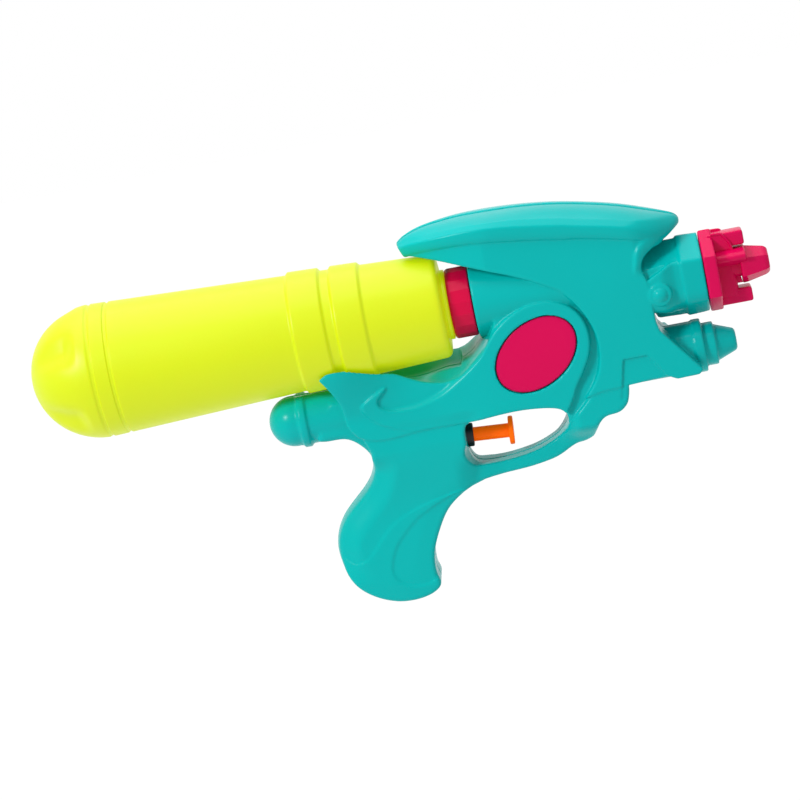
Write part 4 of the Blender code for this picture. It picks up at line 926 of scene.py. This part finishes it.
def makeNozzle():
    k = nozzleSizes
    z = shell["barrelZ"]
    w = k["prongW"]
    face, front, reach = k["face"], k["front"], k["reach"]
    flange = [(face, 0.2), (face, k["r"]), (front, k["r"]), (front, 0.2)]
    cone = [(169.2, 0.2), (169.2, 8.5), (171.6, 8.3), (180.4, 6.4), (reach, 5.2), (reach, k["jet"]),
            (reach - 6, k["jet"]), (reach - 6, 0.1)]
    # the hub has a wide head under the top prong and a column below it
    head = softCorners([
        (-6.7, 8.3), (6.7, 8.3), (10.3, 6.2), (10.3, 4.4), (7, 2.4), (4.6, 1), (-4.6, 1), (-7, 2.4), (-10.3, 4.4),
        (-10.3, 6.2), (-6.7, 8.3)], 0.8, 4)[:-1]
    column = softCorners([(157.5, -5), (166.8, -5), (166.8, 5), (157.5, 5), (157.5, -5)], 2.4, 6)[:-1]
    prong = softCorners([(157, -3.2), (172.4, -3.2), (172.4, 3.2), (157, 3.2), (157, -3.2)], 1.2, 5)[:-1]
    gusset = [(157, z + 7), (157, z + 16.2), (162.9, z + 16), (166.2, z + 11.2), (166.6, z + 7)]
    bead = [(158.4, 16.4), (162.4, 16.2), (163.6, 15.2), (166, 11.6), (166.7, 8)]
    web = [(165, z - 7.6), (169.2, z - 7.6), (168.2, z - 3), (165, z - 3)]
    # the plug holds the head in the barrel and ends in the spigot for the hose
    plug = [(154.5, 0.2), (154.5, k["plugR"]), (150.5, k["plugR"]), (150.5, k["plugFlange"]),
            (147.5, k["plugFlange"]), (147.5, 1.8), (140.5, 1.8), (140.5, 0.2)]
    parts = [
        turnedHex(softCorners(flange, 1.2, 7)),
        turnedHex(softCorners(cone, 1.0, 6)),
        pillow(head + [0, z], front - 1.5, 172.3, 0.9, (2, 0, 1)),
        turned([(165, 0.2), (165, 5.2), (170, 5.2), (170, 0.2)], z, 40),
        pillow(column, z - 12.5, z + 3, 0.4, (0, 1, 2)),
        pillow(prong + [0.2, z + 12.85], -w, w, 0.8),
        pillow(prong + [0, z - 12.9], -w, w, 0.8),
        pillow(gusset, -5.1, 5.1, 0.4),
        *[tube(flow([(x, side, z + up) for x, up in bead], 5), 0.6, 8) for side in (-5.1, 5.1)],
        pillow(web, -2.6, 2.6, 0.4),
        turned(plug, z, 48)]
    return sharpen(outward(putMesh("nozzleHead", *merged(*parts))), 32)


place(makeNozzle(), "body", "nozzle_head", pink)


# The trigger: gland ring, plunger and return spring about the pump's own axis

triggerSizes = dict(shaft=3.2, flangeR=6.4, start=15.8, thick=2.2, tail=-11.2, tailR=2.4, headBack=-17.0, headR=3.4,
                    headFront=-15.8, travel=10.5, gland=(-11.0, 0.0, 3.5, 5.3), glandSides=64,
                    springR=3.9, wire=0.45, coils=6, spring=(-37.65, -17.75))
pumpX, pumpZ, pumpTilt = shell["pump"]
pumpTurn = Matrix.Translation((pumpX, 0, pumpZ)) @ Matrix.Rotation(math.radians(pumpTilt), 4, "Y")


def onPump(points):
    # from the pump's axis at the origin to its place
    turn = np.array(pumpTurn)
    return np.asarray(points) @ turn[:3, :3].T + turn[:3, 3]


def makePlunger():
    k = triggerSizes
    end = k["start"] + k["thick"]
    shape = softCorners([
        (k["headBack"], 0.2), (k["headBack"], k["headR"]), (k["headFront"], k["headR"]), (k["headFront"], k["tailR"]),
        (k["tail"], k["tailR"]), (k["tail"], k["shaft"]), (k["start"], k["shaft"]), (k["start"], k["flangeR"]),
        (end, k["flangeR"]), (end, 0.2)], 0.7, 6)
    points, faces = turned(shape, 0, 64)
    return sharpen(outward(putMesh("triggerPlunger", onPump(points), faces)), 40)


def makeGland():
    rear, front, inner, outer = triggerSizes["gland"]
    loop = softCorners([(rear, inner), (rear, outer), (front, outer), (front, inner)], 0.8, 5)
    grid = turnedGrid(np.vstack([loop, loop[:1]]), 0, triggerSizes["glandSides"])
    points, faces = onPump(grid.reshape(-1, 3)), gridFaces(*grid.shape[:2])
    return sharpen(outward(putMesh("glandRing", points, faces)), 40)


def makeSpring():
    k = triggerSizes
    low, high = k["spring"]
    t = np.linspace(0, 2 * math.pi * k["coils"], 40 * k["coils"])
    climb = np.linspace(low + k["wire"], high - k["wire"], len(t))
    path = np.stack([climb, k["springR"] * np.cos(t), k["springR"] * np.sin(t)], 1)
    points, faces = tube(path, k["wire"], 8)
    return outward(putMesh("returnSpring", onPump(points), faces))


place(makePlunger(), "plunger", "trigger_plunger", orange)
place(makeGland(), "body", "gland_ring", black)
spring = place(makeSpring(), "body", "return_spring", steel)
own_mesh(spring)
print("trigger made")


# Inner pieces keep their CAD meshes and get finished materials

innerFinish = (
    (rubber, "tank_gasket piston_cup"),
    (clearHose, "dip_tube feed_hose delivery_hose"),
    (milk, "pump_cylinder inlet_valve_body inlet_valve_cap outlet_valve_body outlet_valve_cap"),
    (steel, "inlet_valve_ball outlet_valve_ball screw_grip_low screw_grip_high screw_saddle screw_front"),
    (steel, "screw_wing_rear screw_wing_front"),
)
for finish, nodes in innerFinish:
    for node in nodes.split():
        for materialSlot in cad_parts[node].material_slots:
            materialSlot.material = finish
print("inner pieces finished")


# Stage, light and camera

studio = dict(floorZ=-0.42, floorSize=8.0, floorShade=0.84, seenShare=0.92, seenGlow=1.06, dome=0.50,
              soft=14.0, softSize=1.8, softAt=(0.0, 0.1, 1.32), key=13.0, keySize=0.34, keyAt=(-0.86, -0.96, 0.82))
shot = dict(azimuth=4.0, elevation=13.0, roll=11.55, distance=1500.0, lens=151.2, sensor=36.0, pixels=800,
            focal=3360.0, origin=(402.0, 520.0))


def seenRays(tree):
    # what the camera sees straight, in reflections and through clear things
    path = tree.nodes.new("ShaderNodeLightPath")
    camera, glossy, through = [Sock(tree, path.outputs[f"Is {n} Ray"]) for n in ("Camera", "Glossy", "Transmission")]
    return camera + glossy + through


def makeStage():
    # a pale floor that the camera sees as white and that still takes the object's shadow
    half, z = studio["floorSize"] / mm / 2, studio["floorZ"] / mm
    corners = [(-half, -half, z), (half, -half, z), (half, half, z), (-half, half, z)]
    floor = putMesh("floor", corners, [(0, 1, 2, 3)])
    mat, shader, spot = newMaterial("paleFloor")
    shade = studio["floorShade"]
    shader.inputs["Base Color"].default_value = (shade, shade, shade, 1)
    shader.inputs["Roughness"].default_value = 0.9
    tree = mat.node_tree
    share = spot.node("ShaderNodeClamp", Value=studio["seenShare"] * seenRays(tree))
    glow = spot.node("ShaderNodeEmission", Strength=studio["seenGlow"])
    mix = spot.node("ShaderNodeMixShader", i0=share, i1=Sock(tree, shader.outputs[0]), i2=glow)
    link(mix, tree.nodes["Material Output"], "Surface")
    floor.data.materials.append(mat)


def makeWorld():
    # white to the camera and in reflections, a softer dome for the light on the object
    world = bpy.data.worlds.new("studioWorld")
    bpy.context.scene.world = world
    world.use_nodes = True
    tree = world.node_tree
    back = tree.nodes["Background"]
    back.inputs["Color"].default_value = (1, 1, 1, 1)
    seen = seenRays(tree)
    share = seen.node("ShaderNodeClamp", Value=seen)
    link(studio["dome"] + (1 - studio["dome"]) * share, back, "Strength")


def areaLight(name, at, size, power, aim=(0.03, 0, 0.07)):
    lamp = bpy.data.lights.new(name, "AREA")
    lamp.shape = "DISK"
    lamp.size = size
    lamp.energy = power
    obj = addObject(name, lamp)
    obj.location = at
    obj.rotation_euler = (Vector(aim) - Vector(at)).to_track_quat("-Z", "Y").to_euler()


def makeCamera():
    # looks along the photograph's direction, rolled so that the barrel rises to the right
    k = shot
    az, el, roll = [math.radians(k[n]) for n in ("azimuth", "elevation", "roll")]
    back = Vector((math.sin(az) * math.cos(el), -math.cos(az) * math.cos(el), math.sin(el)))
    level = (-back).cross(Vector((0, 0, 1))).normalized()
    up = level.cross(-back)
    right = level * math.cos(roll) - up * math.sin(roll)
    above = level * math.sin(roll) + up * math.cos(roll)
    eye = back * k["distance"]
    half = k["pixels"] / 2
    px, py = k["origin"]
    ray = -back + right * ((px - half) / k["focal"]) + above * ((half - py) / k["focal"])
    hit = eye - ray * (eye.y / ray.y)
    turn = Matrix((right, above, back)).transposed().to_4x4()
    data = bpy.data.cameras.new("camera")
    data.lens = k["lens"]
    data.sensor_width = k["sensor"]
    data.clip_start, data.clip_end = 0.01, 50
    camera = addObject("camera", data)
    camera.matrix_world = Matrix.Translation((eye - hit) * mm) @ turn
    bpy.context.scene.camera = camera


makeStage()
makeWorld()
areaLight("keyLight", studio["keyAt"], studio["keySize"], studio["key"])
areaLight("overheadLight", studio["softAt"], studio["softSize"], studio["soft"])
makeCamera()
bpy.context.scene.view_settings.view_transform = "Standard"
print("stage set")
